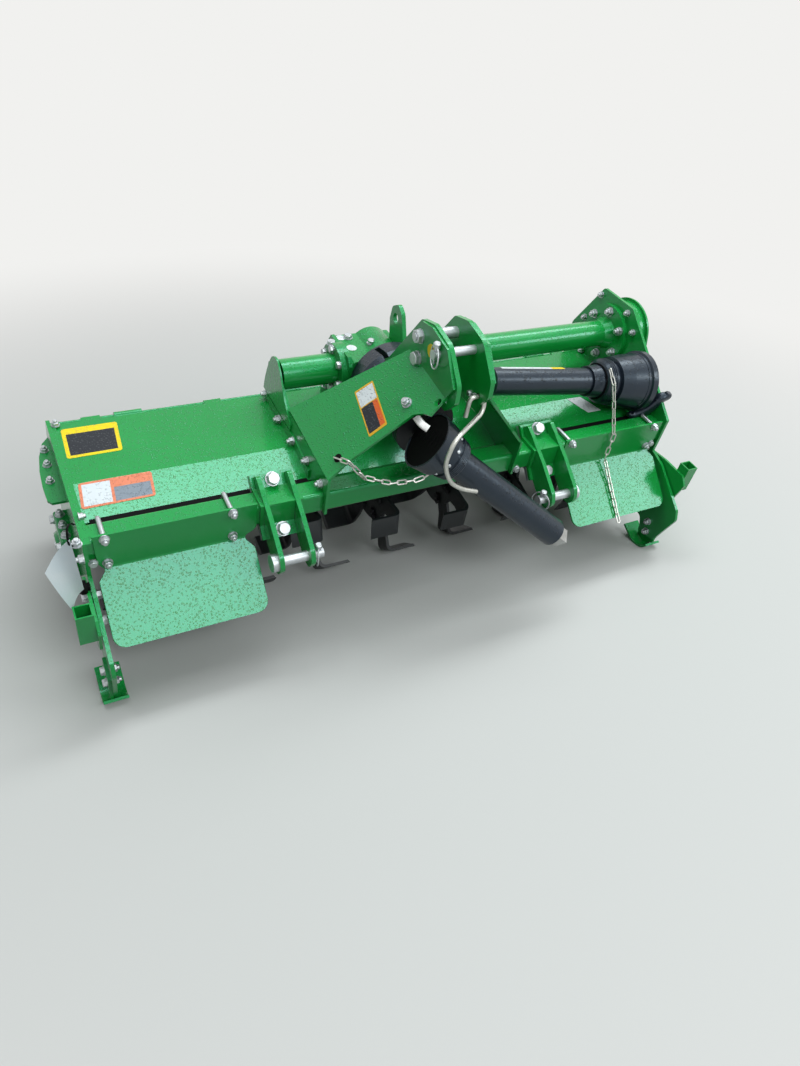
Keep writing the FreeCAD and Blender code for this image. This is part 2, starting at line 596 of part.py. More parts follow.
# The gearbox: a casting over the deck, with round side flanges and a round front neck.
def make_gearbox():
    left, right = size("gearbox_left"), size("gearbox_right")
    depth = size("gearbox_depth")
    base = shaft_z - size("gearbox_foot")
    top = shaft_z + size("gearbox_top")
    front = shaft_y - depth / 2
    core = slab([(-left, front, base), (right, front, base), (right, front, top), (-left, front, top)], (0, depth, 0))
    core = core.makeFillet(8, [e for e in core.Edges if abs(e.tangentAt(e.FirstParameter).y) > 0.99])
    barrel = size("barrel_radius")
    crown = Part.makeCylinder(barrel, depth, V(right - barrel, front, shaft_z + size("barrel_rise")), V(0, 1, 0))
    rings = []
    for hand, face in ((-1, -left), (1, right)):
        rings.append(Part.makeCylinder(size("side_flange_radius"), size("side_flange") + 4,
                                       V(face - hand * 4, shaft_y, shaft_z), V(hand, 0, 0)))
    side = slab([(-left - 8, front, base), (-left - 8, front, top - 12), (-left - 8, front + 14, top + 6),
                 (-left - 8, front + depth - 4, top + 6), (-left - 8, front + depth + 6, top - 12),
                 (-left - 8, front + depth + 6, base)], (9, 0, 0))
    neck = Part.makeCone(size("neck_radius"), size("neck_radius") - 4, 40, V(0, front + 2, shaft_z), V(0, -1, 0))
    foot = Part.makeBox(left + right + 36, depth, base + 3, V(-left - 18, front, 0))
    shape = core.fuse([crown, side, neck, foot] + rings).removeSplitter()
    keep("gearbox", feature("gearbox", shape))
    top = "shaft_z+barrel_rise+barrel_radius"
    eye = [("shaft_y+22", "shaft_z+gearbox_top"), ("shaft_y+34", top + "+34"), ("shaft_y+30", top + "+66"),
           ("shaft_y+6", top + "+82"), ("shaft_y-16", top + "+68"), ("shaft_y-34", top + "+30"),
           ("shaft_y-52", "shaft_z+gearbox_top")]
    rounds = [("shaft_y+34", top + "+34", "14"), ("shaft_y+30", top + "+66", "16"), ("shaft_y+6", top + "+82", "14"),
              ("shaft_y-16", top + "+68", "16")]
    body = flat_plate("lifting_eye", eye, "gearbox_right-16", "10", rounds, [("shaft_y+8", top + "+46", "12")])
    keep("lifting_eye", body)


# The cover tubes of the cross shaft: left to the bulkhead, right to the end plate with a flange.
def make_cover_tubes():
    inside = "cover_radius-cover_wall"
    length = "bulkhead_x-brace_gauge-gearbox_left-side_flange"
    tube_left = turned("cover_tube_left", [
        (inside, "0"), ("cover_radius", "0"), ("cover_radius", length), (inside, length)])
    keep("cover_tube_left", tube_left, along((-size("bulkhead_x") + size("brace_gauge"), shaft_y, shaft_z), (1, 0, 0)))
    length = "inner_half-gearbox_right-side_flange"
    collar, ring = length + "-drive_flange_gauge-26", length + "-drive_flange_gauge"
    tube_right = turned("drive_tube_right", [
        (inside, "0"), ("cover_radius", "0"), ("cover_radius", collar), ("cover_radius+8", ring),
        ("drive_flange_radius", ring), ("drive_flange_radius", length), (inside, length)])
    start = size("gearbox_right") + size("side_flange")
    keep("drive_tube_right", tube_right, along((start, shaft_y, shaft_z), (1, 0, 0)))


def belt(top, top_radius, foot, foot_radius):
    """The face inside two circles in the YZ plane and the two straight lines that touch both."""
    line = V(0, foot[0] - top[0], foot[1] - top[1])
    length = line.Length
    line.normalize()
    side = V(0, -line.z, line.y)
    sine = (top_radius - foot_radius) / length
    cosine = math.sqrt(1 - sine * sine)
    points = []
    for (y, z), radius in ((top, top_radius), (foot, foot_radius)):
        for hand in (1, -1):
            points.append(V(0, y, z) + (line * sine + side * (hand * cosine)) * radius)
    crown = V(0, *top) - line * top_radius
    heel = V(0, *foot) + line * foot_radius
    edges = [Part.Arc(points[0], crown, points[1]).toShape(), Part.LineSegment(points[1], points[3]).toShape(),
             Part.Arc(points[3], heel, points[2]).toShape(), Part.LineSegment(points[2], points[0]).toShape()]
    return Part.Face(Part.Wire(edges))


# The side gear case: a deep cover from the cross shaft down to the rotor, with a bolted lid.
def make_gear_case():
    start = inner + size("plate_gauge")
    depth = size("case_depth")
    top, foot = (shaft_y, shaft_z), (rotor_y, rotor_z)
    case = belt(top, size("case_radius") - 8, foot, size("case_foot_radius") - 8).extrude(V(depth, 0, 0))
    rim = belt(top, size("case_radius"), foot, size("case_foot_radius")).extrude(V(8, 0, 0))
    case = case.fuse(rim).removeSplitter()
    case.translate(V(start, 0, 0))
    keep("side_gear_case", feature("side_gear_case", case))
    lid = belt(top, size("case_radius"), foot, size("case_foot_radius")).extrude(V(size("case_cover_gauge"), 0, 0))
    lid.translate(V(start + depth, 0, 0))
    lid = lid.makeFillet(2.5, [e for e in lid.Edges if abs(e.CenterOfMass.x - start - depth
                                                            - size("case_cover_gauge")) < 0.01])
    keep("gear_case_lid", feature("gear_case_lid", lid))


def tine(hand):
    """One L-shaped tine, its shank up along +Z from the disc and its blade bent to one side."""
    gauge, width, reach = size("tine_gauge"), size("tine_width"), size("tine_reach")
    swing, bend = size("swing"), size("tine_bend")
    root = size("disc_radius") - 34
    half = size("disc_gauge") / 2
    start, end = half, half + gauge
    tip = half + reach
    high, low = swing, swing - gauge
    turn = math.sqrt(0.5)
    inner_bend = bend - gauge
    points = [V(start, 0, root), V(start, 0, high - bend), V(tip, 0, high), V(tip - 6, 0, low),
              V(end + inner_bend, 0, low), V(end, 0, low - inner_bend), V(end, 0, root)]
    crest = V(start + bend * (1 - turn), 0, high - bend * (1 - turn))
    valley = V(end + inner_bend * (1 - turn), 0, low - inner_bend * (1 - turn))
    shoulder = V(start + bend, 0, high)
    edges = [Part.LineSegment(points[0], points[1]).toShape(), Part.Arc(points[1], crest, shoulder).toShape(),
             Part.LineSegment(shoulder, points[2]).toShape(), Part.LineSegment(points[2], points[3]).toShape(),
             Part.LineSegment(points[3], points[4]).toShape(), Part.Arc(points[4], valley, points[5]).toShape(),
             Part.LineSegment(points[5], points[6]).toShape(), Part.LineSegment(points[6], points[0]).toShape()]
    bar = Part.Face(Part.Wire(edges)).extrude(V(0, 2.4 * width, 0))
    bar.translate(V(0, -1.2 * width, 0))
    sweep = 16.0
    outline = [(-width / 2, root), (-width / 2, high - 60), (-width / 2 - sweep, high - 8),
               (-width / 2 - sweep, high + 2), (width / 2 - sweep * 0.4, high + 2), (width / 2 - sweep * 0.2, high - 34),
               (width / 2, high - 66), (width / 2, root)]
    side = slab([(-10, y, z) for y, z in outline], (reach + 40, 0, 0))
    shape = bar.common(side).common(Part.makeCylinder(swing, 400, V(-200, 0, 0), V(1, 0, 0)))
    if hand < 0:
        shape = shape.mirror(V(0, 0, 0), V(1, 0, 0))
    return shape


# The rotor: a tube with seven discs of six tines, each disc turned a step after the one before.
DISC_COUNT = 7
TINES_PER_DISC = 6
# The left bearing's housing, as (Y, Z) from the rotor axis.
HOUSING = [(-54, 68), (44, 68), (58, 52), (58, -40), (30, -66), (-30, -66), (-58, -40), (-58, 52)]


def make_rotor(tilt):
    half = inner - size("rotor_gap")
    radius = size("rotor_tube_radius")
    axis = V(1, 0, 0)
    origin = V(0, 0, 0)
    parts = []
    right, left = tine(1), tine(-1)
    gauge = size("disc_gauge")
    pitch = 2 * (half - size("disc_end")) / (DISC_COUNT - 1)
    for disc in range(DISC_COUNT):
        x = (disc - (DISC_COUNT - 1) / 2) * pitch
        parts.append(Part.makeCylinder(size("disc_radius"), gauge, V(x - gauge / 2, 0, 0), axis))
        for number in range(TINES_PER_DISC):
            blade = (right if number % 2 else left).copy()
            angle = 180 + number * 360 / TINES_PER_DISC + disc * size("tine_step")
            blade.rotate(origin, axis, angle - tilt)
            blade.translate(V(x, 0, 0))
            parts.append(blade)
    body = Part.makeCylinder(radius, 2 * half, V(-half, 0, 0), axis)
    for hand in (1, -1):
        stub = Part.makeCylinder(radius - 12, size("rotor_gap") + size("plate_gauge"), V(hand * half, 0, 0),
                                 V(hand, 0, 0))
        parts.append(stub)
    shape = body.fuse(parts).removeSplitter()
    shape.translate(V(0, rotor_y, rotor_z))
    keep("rotor", feature("rotor", shape))
    bore = radius - 12 + size("fit_gap")
    for side, hand in (("left", -1), ("right", 1)):
        face = hand * inner
        at = V(face - hand * (size("rotor_gap") - 7), rotor_y, rotor_z)
        reach = size("plate_gauge") + size("rotor_gap") - 7
        ring = Part.makeCylinder(radius + 5.7, reach, at, V(hand, 0, 0))
        ring = ring.cut(Part.makeCylinder(bore, reach, at, V(hand, 0, 0)))
        if side == "left":
            outside = face + hand * size("plate_gauge")
            cap = slab([(outside, rotor_y + y, rotor_z + z) for y, z in HOUSING], (hand * 27, 0, 0))
            cap = cap.makeFillet(6, [e for e in cap.Edges if abs(e.CenterOfMass.x - outside - hand * 27) < 0.01])
            dome = Part.makeCone(40, 34, 8, V(outside + hand * 26, rotor_y, rotor_z), V(hand, 0, 0))
            ring = ring.fuse([cap, dome])
        keep("rotor_bearing_" + side, feature("rotor_bearing_" + side, ring))


# The skid shoes: a runner with a turned-up toe under each end plate's nose.
def make_shoe(side, hand):
    gauge, radius = size("shoe_gauge"), size("shoe_radius")
    y, z = size("shoe_y"), size("shoe_z")
    middle = hand * (inner + size("plate_gauge") / 2)

    def at(angle, r):
        a = math.radians(angle)
        return V(0, y + r * math.cos(a), z + r * math.sin(a))

    toe, heel = 208.0, 296.0
    tail = V(0, math.cos(math.radians(heel + 90)), math.sin(math.radians(heel + 90))) * 36
    edges = [Part.Arc(at(toe, radius), at((toe + heel) / 2, radius), at(heel, radius)).toShape(),
             Part.LineSegment(at(heel, radius), at(heel, radius) + tail).toShape(),
             Part.LineSegment(at(heel, radius) + tail, at(heel, radius - gauge) + tail).toShape(),
             Part.LineSegment(at(heel, radius - gauge) + tail, at(heel, radius - gauge)).toShape(),
             Part.Arc(at(heel, radius - gauge), at((toe + heel) / 2, radius - gauge), at(toe, radius - gauge)).toShape(),
             Part.LineSegment(at(toe, radius - gauge), at(toe, radius)).toShape()]
    runner = Part.Face(Part.Wire(edges)).extrude(V(size("shoe_width"), 0, 0))
    runner.translate(V(middle - size("shoe_width") / 2, 0, 0))
    web_x = hand * (inner + size("plate_gauge"))
    web = slab([(web_x, -136, z - 26), (web_x, -136, z + 40), (web_x, -92, z + 60), (web_x, -74, z - 20),
                (web_x, -82, z - radius + gauge + 4), (web_x, -112, z - radius + gauge - 1)], (hand * 6, 0, 0))
    shape = runner.fuse(web).removeSplitter()
    keep("skid_shoe_" + side, feature("skid_shoe_" + side, shape))


# The stand sockets: a square tube on a bracket outside each nose.
def make_socket(side, hand):
    start = hand * (inner + size("plate_gauge"))
    gap, gauge = size("bracket_gap"), size("bracket_gauge")
    plate_x = start + hand * gap
    plate = slab([(plate_x, 0, -88), (plate_x, -50, -82), (plate_x, -120, -83), (plate_x, -138, -104),
                  (plate_x, -124, -162), (plate_x, -96, -186), (plate_x, -30, -186), (plate_x, 0, -150)],
                 (hand * gauge, 0, 0))
    spacers = [Part.makeCylinder(14, gap, V(start, sy, sz), V(hand, 0, 0)) for sy, sz in ((-26, -118), (-66, -150))]
    half = size("socket_size") / 2
    middle = plate_x + hand * (gauge + half)
    top, length = size("socket_top"), size("socket_length")
    outer = Part.makeBox(2 * half, 2 * half, length, V(middle - half, size("socket_y") - half, top - length))
    bore_half = half - size("socket_wall")
    bore = Part.makeBox(2 * bore_half, 2 * bore_half, length,
                        V(middle - bore_half, size("socket_y") - bore_half, top - length))
    shape = plate.fuse(spacers + [outer]).cut(bore).removeSplitter()
    keep("stand_socket_" + side, feature("stand_socket_" + side, shape))


# The front half of the driveline, which hangs from the gearbox's input shaft.
JOINT = V(0, -60, shaft_z)
REACH = V(280, -109, -209).normalize()


def make_driveline_front():
    front = shaft_y - size("gearbox_depth") / 2
    gap = size("seat_gap")
    shield = turned("shaft_guard_shell", [
        ("neck_radius+seat_gap", "0"), ("shield_radius", "0"), ("shield_radius+9", "44"),
        ("shield_radius+4", "shield_length"), ("shield_radius+1", "shield_length"), ("shield_radius+6", "44"),
        ("shield_radius-3", "4"), ("neck_radius+seat_gap", "4")])
    shell = shield.Shape.copy()
    shell.Placement = along((0, front, shaft_z), (0, -1, 0))
    for hand in (1, -1):
        x = size("mast_x") - gap if hand > 0 else -size("mast_x") - size("mast_gauge") - gap
        wide = size("mast_gauge") + 2 * gap
        shell = shell.cut(Part.makeBox(wide, 400, 54, V(x, front - 400, 118 - gap)))
        shell = shell.cut(Part.makeBox(wide, 400, 200, V(x, front - 407, 118 - gap)))
    keep("shaft_guard", feature("shaft_guard", shell))
    wall = "guard_radius-guard_wall"
    bore = "journal_radius+fit_gap"
    profile = [
        ("bell_radius+5", "-62"), ("bell_radius+9", "-62"), ("bell_radius+3", "-20"), ("guard_radius+18", "-16"),
        ("guard_radius+18", "-10"), ("guard_radius+14", "-8"), ("guard_radius+14", "-2"), ("guard_radius+16", "0"),
        ("guard_radius+12", "22"), ("guard_radius", "27"), ("guard_radius", "guard_reach"), (wall, "guard_reach"),
        (wall, "58"), (bore, "58"), (bore, "44"), (wall, "40"), (wall, "30"), ("guard_radius+8", "18"),
        ("guard_radius+10", "-12"), ("bell_radius-1", "-20"),
    ]
    guard = turned("driveline_guard_shell", profile).Shape.copy()
    across = (V(0, 1, 0) - REACH * REACH.y).normalize()
    notch = Part.makeBox(56, 140, 96, V(-28, 0, -86))
    notch.Placement = FreeCAD.Placement(JOINT, FreeCAD.Rotation(across.cross(REACH), across, REACH))
    guard.Placement = along(tuple(JOINT), tuple(REACH))
    keep("driveline_front_guard", feature("driveline_front_guard", guard.cut(notch)))
    half = size("profile_size") / 2
    end = size("guard_reach") + size("profile_out")
    start = 66.0
    ball = size("ball_radius")
    bar = Part.makeBox(2 * half, 2 * half, end - start, V(-half, -half, start))
    hollow = Part.makeBox(2 * half - 8, 2 * half - 8, 70, V(-half + 4, -half + 4, end - 70))
    journal = Part.makeCylinder(size("journal_radius"), start + 4 - ball, V(0, 0, ball + size("seat_gap")))
    shape = bar.cut(hollow).fuse(journal).removeSplitter()
    keep("driveline_front_shaft", feature("driveline_front_shaft", shape), along(tuple(JOINT), tuple(REACH)))


# The input shaft with its clutch disc and the universal joint's block.
def make_input_shaft():
    front = shaft_y - size("gearbox_depth") / 2
    thin, wide = size("input_radius"), size("clutch_radius")
    axis = V(0, -1, 0)
    start = front - 38 - size("seat_gap")
    shaft = Part.makeCylinder(thin, start - JOINT.y, V(0, start, shaft_z), axis)
    hub = Part.makeCylinder(30, 70, V(0, 92, shaft_z), axis)
    disc = Part.makeCylinder(wide, 22, V(0, 62, shaft_z), axis)
    ball = Part.makeSphere(size("ball_radius"), JOINT)
    keep("input_shaft", feature("input_shaft", shaft.fuse([hub, disc, ball]).removeSplitter()))


# The rear half of the driveline, stored on the right deck: guard, bell and yoke.
STORE = V(size("bulkhead_x") - 15, 145.0, 113.8)
BELL_END = V(inner - 10, 109.5, 66)


def make_driveline_store():
    run = BELL_END - STORE
    length = run.Length
    far = f"{length - 176:.1f}"
    near = f"{length - 188:.1f}"
    body = turned("driveline_store_guard", [
        ("24.4", "0"), ("guard_radius", "0"), ("guard_radius", far), ("24.4", far), ("24.4", near),
        ("guard_radius-guard_wall", near), ("guard_radius-guard_wall", "12"), ("24.4", "12")])
    keep("driveline_store_guard", body, along(tuple(STORE), tuple(run)))
    bell = turned("driveline_store_bell", [
        ("guard_radius+1", "0"), ("guard_radius+5", "0"), ("guard_radius+9", "34"), ("50", "38"), ("56", "44"),
        ("56", "64"), ("53", "66"), ("53", "72"), ("62", "74"), ("68", "110"), ("73", "158"), ("78", "160"),
        ("78", "176"), ("74", "176"), ("69", "156"), ("64", "110"), ("58", "78"), ("48", "72"), ("46", "50"),
        ("guard_radius+1", "46")])
    start = STORE + run * ((length - 196) / length)
    keep("driveline_store_bell", bell, along(tuple(start), tuple(run)))
    yoke_core = Part.makeCylinder(24, 60, V(0, 0, length - 150))
    bar = Part.makeBox(34, 34, length - 150 - 20, V(-17, -17, 20))
    fork = Part.makeCylinder(34, 70, V(0, 0, length - 100)).cut(Part.makeCylinder(18, 70, V(0, 0, length - 100)))
    shape = yoke_core.fuse([bar, fork]).removeSplitter()
    keep("driveline_store_yoke", feature("driveline_store_yoke", shape), along(tuple(STORE), tuple(run)))


def link(wire, pitch):
    """One oval chain link in the XZ plane, its length along X."""
    radius = wire / 2
    bend = wire * 1.15
    half = pitch / 2 + radius - bend
    path = Part.Wire([
        Part.LineSegment(V(-half, 0, -bend), V(half, 0, -bend)).toShape(),
        Part.Arc(V(half, 0, -bend), V(half + bend, 0, 0), V(half, 0, bend)).toShape(),
        Part.LineSegment(V(half, 0, bend), V(-half, 0, bend)).toShape(),
        Part.Arc(V(-half, 0, bend), V(-half - bend, 0, 0), V(-half, 0, -bend)).toShape()])
    section = Part.Wire(Part.makePolygon([
        V(-half, radius * math.cos(a), -bend + radius * math.sin(a)) for a in
        [math.radians(45 + 90 * k) for k in range(5)]]))
    return path.makePipeShell([section], True, False)


def chain(points, node):
    """Links at even steps along a route of straight runs; neighbours stand square to each other."""
    pitch, wire = size("link_pitch"), size("link_wire")
    route = [V(*p) for p in points]
    lengths = [(b - a).Length for a, b in zip(route, route[1:])]
    total = sum(lengths)
    count = int(total / pitch)
    one = link(wire, pitch)
    links = []
    for i in range(count):
        way = (i + 0.5) * total / count
        for a, b, run in zip(route, route[1:], lengths):
            if way <= run:
                break
            way -= run
        step = (b - a).normalize()
        turn = FreeCAD.Rotation(V(1, 0, 0), step)
        roll = FreeCAD.Rotation(V(1, 0, 0), 45 + 90 * (i % 2))
        piece = one.copy()
        piece.Placement = FreeCAD.Placement(a + step * way, turn.multiply(roll))
        links.append(piece)
    keep(node, feature(node, Part.makeCompound(links)))


def make_chains(start):
    route = [(-211, -24, 98), (-180, -36, 62), (-140, -42, 46), (-109, -44, 34), (-78, -45, 32), (-52, -48, 34),
             (-34, -50, 40), (-23, -52, 50)]
    chain([tuple(start)] + route, "chain_front")
    hang = inner - 184
    chain([(hang + 14, 92, 137), (hang + 12, 60, 114), (hang + 7, 26, 64), (hang, -15, 6), (hang, -18, -62),
           (hang + 3, -60, -106), (hang + 2, -140, -176)], "chain_side")


# The hook: a bent rod in the mast lobes that carries the driveline's front half.
def make_hook():
    r = size("hook_wire") / 2
    y = size("lobe_y")
    z = size("lobe_z") - size("hook_hole") + r + size("fit_gap")
    inside = size("mast_x") - 17
    outside = size("mast_x") + size("mast_gauge") + 8
    path = [(inside, y, z - 46), (inside, y, z), (outside, y, z), (outside - 1, y - 8, z - 36), (-46, -131, 203),
            (-56, -132, 150), (-46, -132, 118), (-28, -132, 88), (4, -131, 64), (46, -130, 46)]
    keep("driveline_hook", feature("driveline_hook", rod(path, r, [10, 8, 20, 30, 60, 120, 80, 140])))


# The tailgate: a sheet that hangs from a rod behind the deck.
HINGE_BACK = 11.0
HINGE_DOWN = -9.0
# Middles of the knuckles and of the rod's tabs, as shares of the inner half width.
KNUCKLES = [-0.776, -0.25, 0.25, 0.776]
TABS = [-0.886, -0.512, 0.0, 0.512, 0.886]


def make_tailgate():
    gauge, radius = size("gate_gauge"), size("hinge_radius")
    y, z = size("hem_y") + HINGE_BACK, HINGE_DOWN
    half = inner - size("gate_gap")
    angle = math.radians(size("gate_angle"))
    down = V(0, math.sin(angle), -math.cos(angle))
    out = V(0, math.cos(angle), math.sin(angle))
    axis = V(1, 0, 0)
    hinge = V(0, y, z)
    start = hinge + down * 13
    low = hinge + down * (size("gate_length") - 40)
    lip = V(0, math.sin(angle + 0.6), -math.cos(angle + 0.6))
    lip_out = V(0, math.cos(angle + 0.6), math.sin(angle + 0.6))
    section = [start, low, low + lip * 40, low + lip * 40 + lip_out * gauge, low + out * gauge, start + out * gauge]
    panel = slab([(-half, p.y, p.z) for p in section], (2 * half, 0, 0))
    sleeve = radius + size("fit_gap")
    knuckles = []
    length = 60
    for share in KNUCKLES:
        x = share * inner
        knuckles.append(Part.makeCylinder(10, length, hinge + axis * (x - length / 2), axis))
        web = slab([(x - length / 2, *p) for p in (
            (hinge.y + out.y * -2, hinge.z + out.z * -2), (start.y + down.y * 4, start.z + down.z * 4),
            (start.y + down.y * 4 + out.y * gauge, start.z + down.z * 4 + out.z * gauge),
            (hinge.y + out.y * 6, hinge.z + out.z * 6))], (length, 0, 0))
        knuckles.append(web)
    panel = panel.fuse(knuckles).cut(Part.makeCylinder(sleeve, 2 * inner, hinge - axis * inner, axis))
    keep("tailgate", feature("tailgate", panel.removeSplitter()))
    bar = Part.makeCylinder(radius, 2 * inner, hinge - axis * inner, axis)
    tabs = []
    for share in TABS:
        x = share * inner
        tabs.append(slab([(x - 20, size("hem_y"), -2), (x - 20, size("hem_y"), -16), (x - 20, y + 4, -16),
                          (x - 20, y + 4, -2)], (40, 0, 0)))
    keep("tailgate_rod", feature("tailgate_rod", bar.fuse(tabs).removeSplitter()))


# The stance: the common tangent of the shoe's curve and the rotor's swing becomes the ground.
def stance():
    dy, dz = rotor_y - size("shoe_y"), rotor_z - size("shoe_z")
    tilt = math.asin((size("swing") - size("shoe_radius")) / math.hypot(dy, dz)) - math.atan2(dz, dy)
    return math.degrees(tilt)


make_front_tube()
make_deck()
make_end_plates()
chain_hole = make_brace("left", -1)
make_brace("right", 1)
make_mast()
for side, hand in (("left", -1), ("right", 1)):
    make_clevis(side, hand)
    make_deflector(side, hand)
    make_shoe(side, hand)
    make_socket(side, hand)
make_gearbox()
make_cover_tubes()
make_gear_case()
make_rotor(stance())
make_driveline_front()
make_input_shaft()
make_driveline_store()
make_chains(chain_hole)
make_hook()
make_tailgate()
doc.recompute()

# Every piece tips forward about the X axis and is set down on the ground, centred on its box.
turn = FreeCAD.Placement(V(0, 0, 0), FreeCAD.Rotation(V(1, 0, 0), stance()))
box = FreeCAD.BoundBox()
for node, (item, local) in PIECES.items():
    item.Placement = turn.multiply(local)
doc.recompute()
for node, (item, local) in PIECES.items():
    box.add(item.Shape.optimalBoundingBox(False, False))
shift = V(-(box.XMin + box.XMax) / 2, -(box.YMin + box.YMax) / 2, -box.ZMin)
home = FreeCAD.Placement(shift, FreeCAD.Rotation()).multiply(turn)
for node, (item, local) in PIECES.items():
    item.Placement = home.multiply(local)
doc.recompute()

for item in doc.Objects:
    if "Invalid" in item.State or "Error" in item.State:
        raise RuntimeError(f"{item.Name} failed: {item.State}")
for node, (item, local) in PIECES.items():
    if item.Shape.isNull() or not item.Shape.isValid():
        raise RuntimeError(f"{node} has no valid shape")

os.makedirs("parts", exist_ok=True)
for node, (item, local) in PIECES.items():
    item.Shape.exportStep(f"parts/{node}.step")
print(len(PIECES), "pieces; tips forward by", round(stance(), 2), "degrees")
print("shift", [round(v, 3) for v in shift], "box", [round(v, 1) for v in (box.XLength, box.YLength, box.ZLength)])
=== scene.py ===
# %% [markdown]
# # A rotary tiller, dressed for its portrait
# The CAD model gives the sheet metal, castings, shafts and tines. Here we light it and paint it, and
# then add what a workshop adds last: bolts, washers, spring rings, blank labels and a paper tag. New
# pieces are surfaces worked out with numpy, so each one starts from a formula rather than a stock shape.

# %% Load the frame
import bpy
import json
import numpy as np
from mathutils import Matrix


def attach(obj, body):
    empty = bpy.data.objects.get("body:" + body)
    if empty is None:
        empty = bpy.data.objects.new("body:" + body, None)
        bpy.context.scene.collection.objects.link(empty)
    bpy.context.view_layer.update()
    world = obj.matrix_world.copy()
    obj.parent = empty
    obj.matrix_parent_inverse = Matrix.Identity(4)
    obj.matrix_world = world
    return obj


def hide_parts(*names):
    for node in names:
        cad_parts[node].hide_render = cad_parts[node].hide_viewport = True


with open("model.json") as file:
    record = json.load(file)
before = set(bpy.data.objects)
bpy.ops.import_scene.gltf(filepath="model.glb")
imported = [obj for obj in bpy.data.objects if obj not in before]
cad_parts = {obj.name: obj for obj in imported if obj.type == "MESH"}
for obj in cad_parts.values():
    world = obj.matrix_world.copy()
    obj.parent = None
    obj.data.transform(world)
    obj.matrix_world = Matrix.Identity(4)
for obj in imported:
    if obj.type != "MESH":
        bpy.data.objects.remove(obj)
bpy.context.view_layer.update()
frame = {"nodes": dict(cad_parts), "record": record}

# %% [markdown]
# ## The tiller's own frame
# The machine was drawn level, in millimetres, from the middle of the front tube's top front edge: X to
# the right, Y to the rear, Z up. It parks tipped forward on its skid shoes and lowest tines. It is
# easier to place a bolt in the level frame, so one function turns such places into the parked ones.

# %% From the level frame to the parked one
TIP = np.radians(11.62)
SHIFT = np.array([-11.0, -204.569, 353.219])
TIP_TURN = np.array([[1.0, 0.0, 0.0],
                     [0.0, np.cos(TIP), -np.sin(TIP)],
                     [0.0, np.sin(TIP), np.cos(TIP)]])


def parked(points):
    """Level millimetres to parked metres: turn about X by the tip angle, shift, divide by 1000."""
    return (np.asarray(points, float) @ TIP_TURN.T + SHIFT) / 1000.0


def unit(vector):
    """A vector made one long."""
    return np.asarray(vector, float) / np.linalg.norm(vector)


SIDES = (("left", -1), ("right", 1))
LEFT, RIGHT, FRONT, UP = (-1, 0, 0), (1, 0, 0), (0, -1, 0), (0, 0, 1)


print("hitch pin at", parked((-341.5, -89, -76)).round(3))

# %% [markdown]
# ## Camera
# The photograph is taken from the front left and about 1.2 m up, looking down by 34 degrees. A camera
# could be turned by hand until the picture looks right. Here its place, its three directions and its
# lens were fitted to the photograph, so that every piece can be set against it.

# %% Camera
EYE = parked((-809.7, -1084.3, 1081.9))
SIGHT_RIGHT = np.array([0.880847, -0.468512, 0.067860])
SIGHT_DOWN = np.array([-0.210799, -0.516528, -0.829917])
SIGHT_AHEAD = np.array([0.423877, 0.716725, -0.553744])
FOCAL_PIXELS, PHOTO_WIDTH = 770.0, 800.0

lens = bpy.data.cameras.new("portrait_lens")
lens.sensor_fit = "HORIZONTAL"
lens.sensor_width = 36.0
lens.lens = FOCAL_PIXELS / PHOTO_WIDTH * lens.sensor_width
camera = bpy.data.objects.new("portrait_camera", lens)
turn = np.eye(4)
turn[:3, 0], turn[:3, 1], turn[:3, 2], turn[:3, 3] = SIGHT_RIGHT, -SIGHT_DOWN, -SIGHT_AHEAD, EYE
camera.matrix_world = Matrix(turn.tolist())
bpy.context.scene.collection.objects.link(camera)
bpy.context.scene.camera = camera
print("camera at", EYE.round(3), "lens", round(lens.lens, 2), "mm")

# %% [markdown]
# ## Surfaces as grids
# Nearly every piece below is a grid of points: rows run along it and columns run round it. Stock shapes
# could be scaled and joined instead, but a grid follows any formula. One function lists its faces and
# closes its two ends, or joins them, so no shape has a hole.

# %% Grid to mesh
def even_angles(count):
    """Angles at even steps round a full turn."""
    return np.arange(count) * 2 * np.pi / count


def grid_faces(rows, columns, caps=True, looped=False, turned=False):
    """Faces as index lists: quads between neighbours, the last column beside the first.

    Caps are one face per end. A looped grid has its last row joined to its first. Turned flips all.
    """
    index = np.arange(rows * columns).reshape(rows, columns)
    across = np.hstack([index, index[:, :1]])
    quads = np.stack([across[:-1, :-1], across[:-1, 1:], across[1:, 1:], across[1:, :-1]], axis=-1)
    faces = quads.reshape(-1, 4).tolist()
    if looped:
        last, first = index[-1], index[0]
        faces += np.stack([last, np.roll(last, -1), np.roll(first, -1), first], -1).tolist()
    elif caps:
        faces += [index[0, ::-1].tolist(), index[-1].tolist()]
    return [face[::-1] for face in faces] if turned else faces


def add_piece(name, points, faces, body=None, paint=None, crease=34.0):
    """Makes a mesh object at the origin from parked metres, smooth but for edges sharper than the crease."""
    mesh = bpy.data.meshes.new(name)
    mesh.from_pydata(np.reshape(points, (-1, 3)).tolist(), [], faces)
    mesh.polygons.foreach_set("use_smooth", np.full(len(mesh.polygons), True))
    mesh.set_sharp_from_angle(angle=np.radians(crease))
    mesh.update()
    item = bpy.data.objects.new(name, mesh)
    bpy.context.scene.collection.objects.link(item)
    if paint:
        mesh.materials.append(paint)
    if body:
        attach(item, body)
    return item


def add_level(name, points, faces, body, paint, crease=34.0):
    """A piece from points in level millimetres, which are parked first."""
    return add_piece(name, parked(np.reshape(points, (-1, 3))), faces, body, paint, crease)


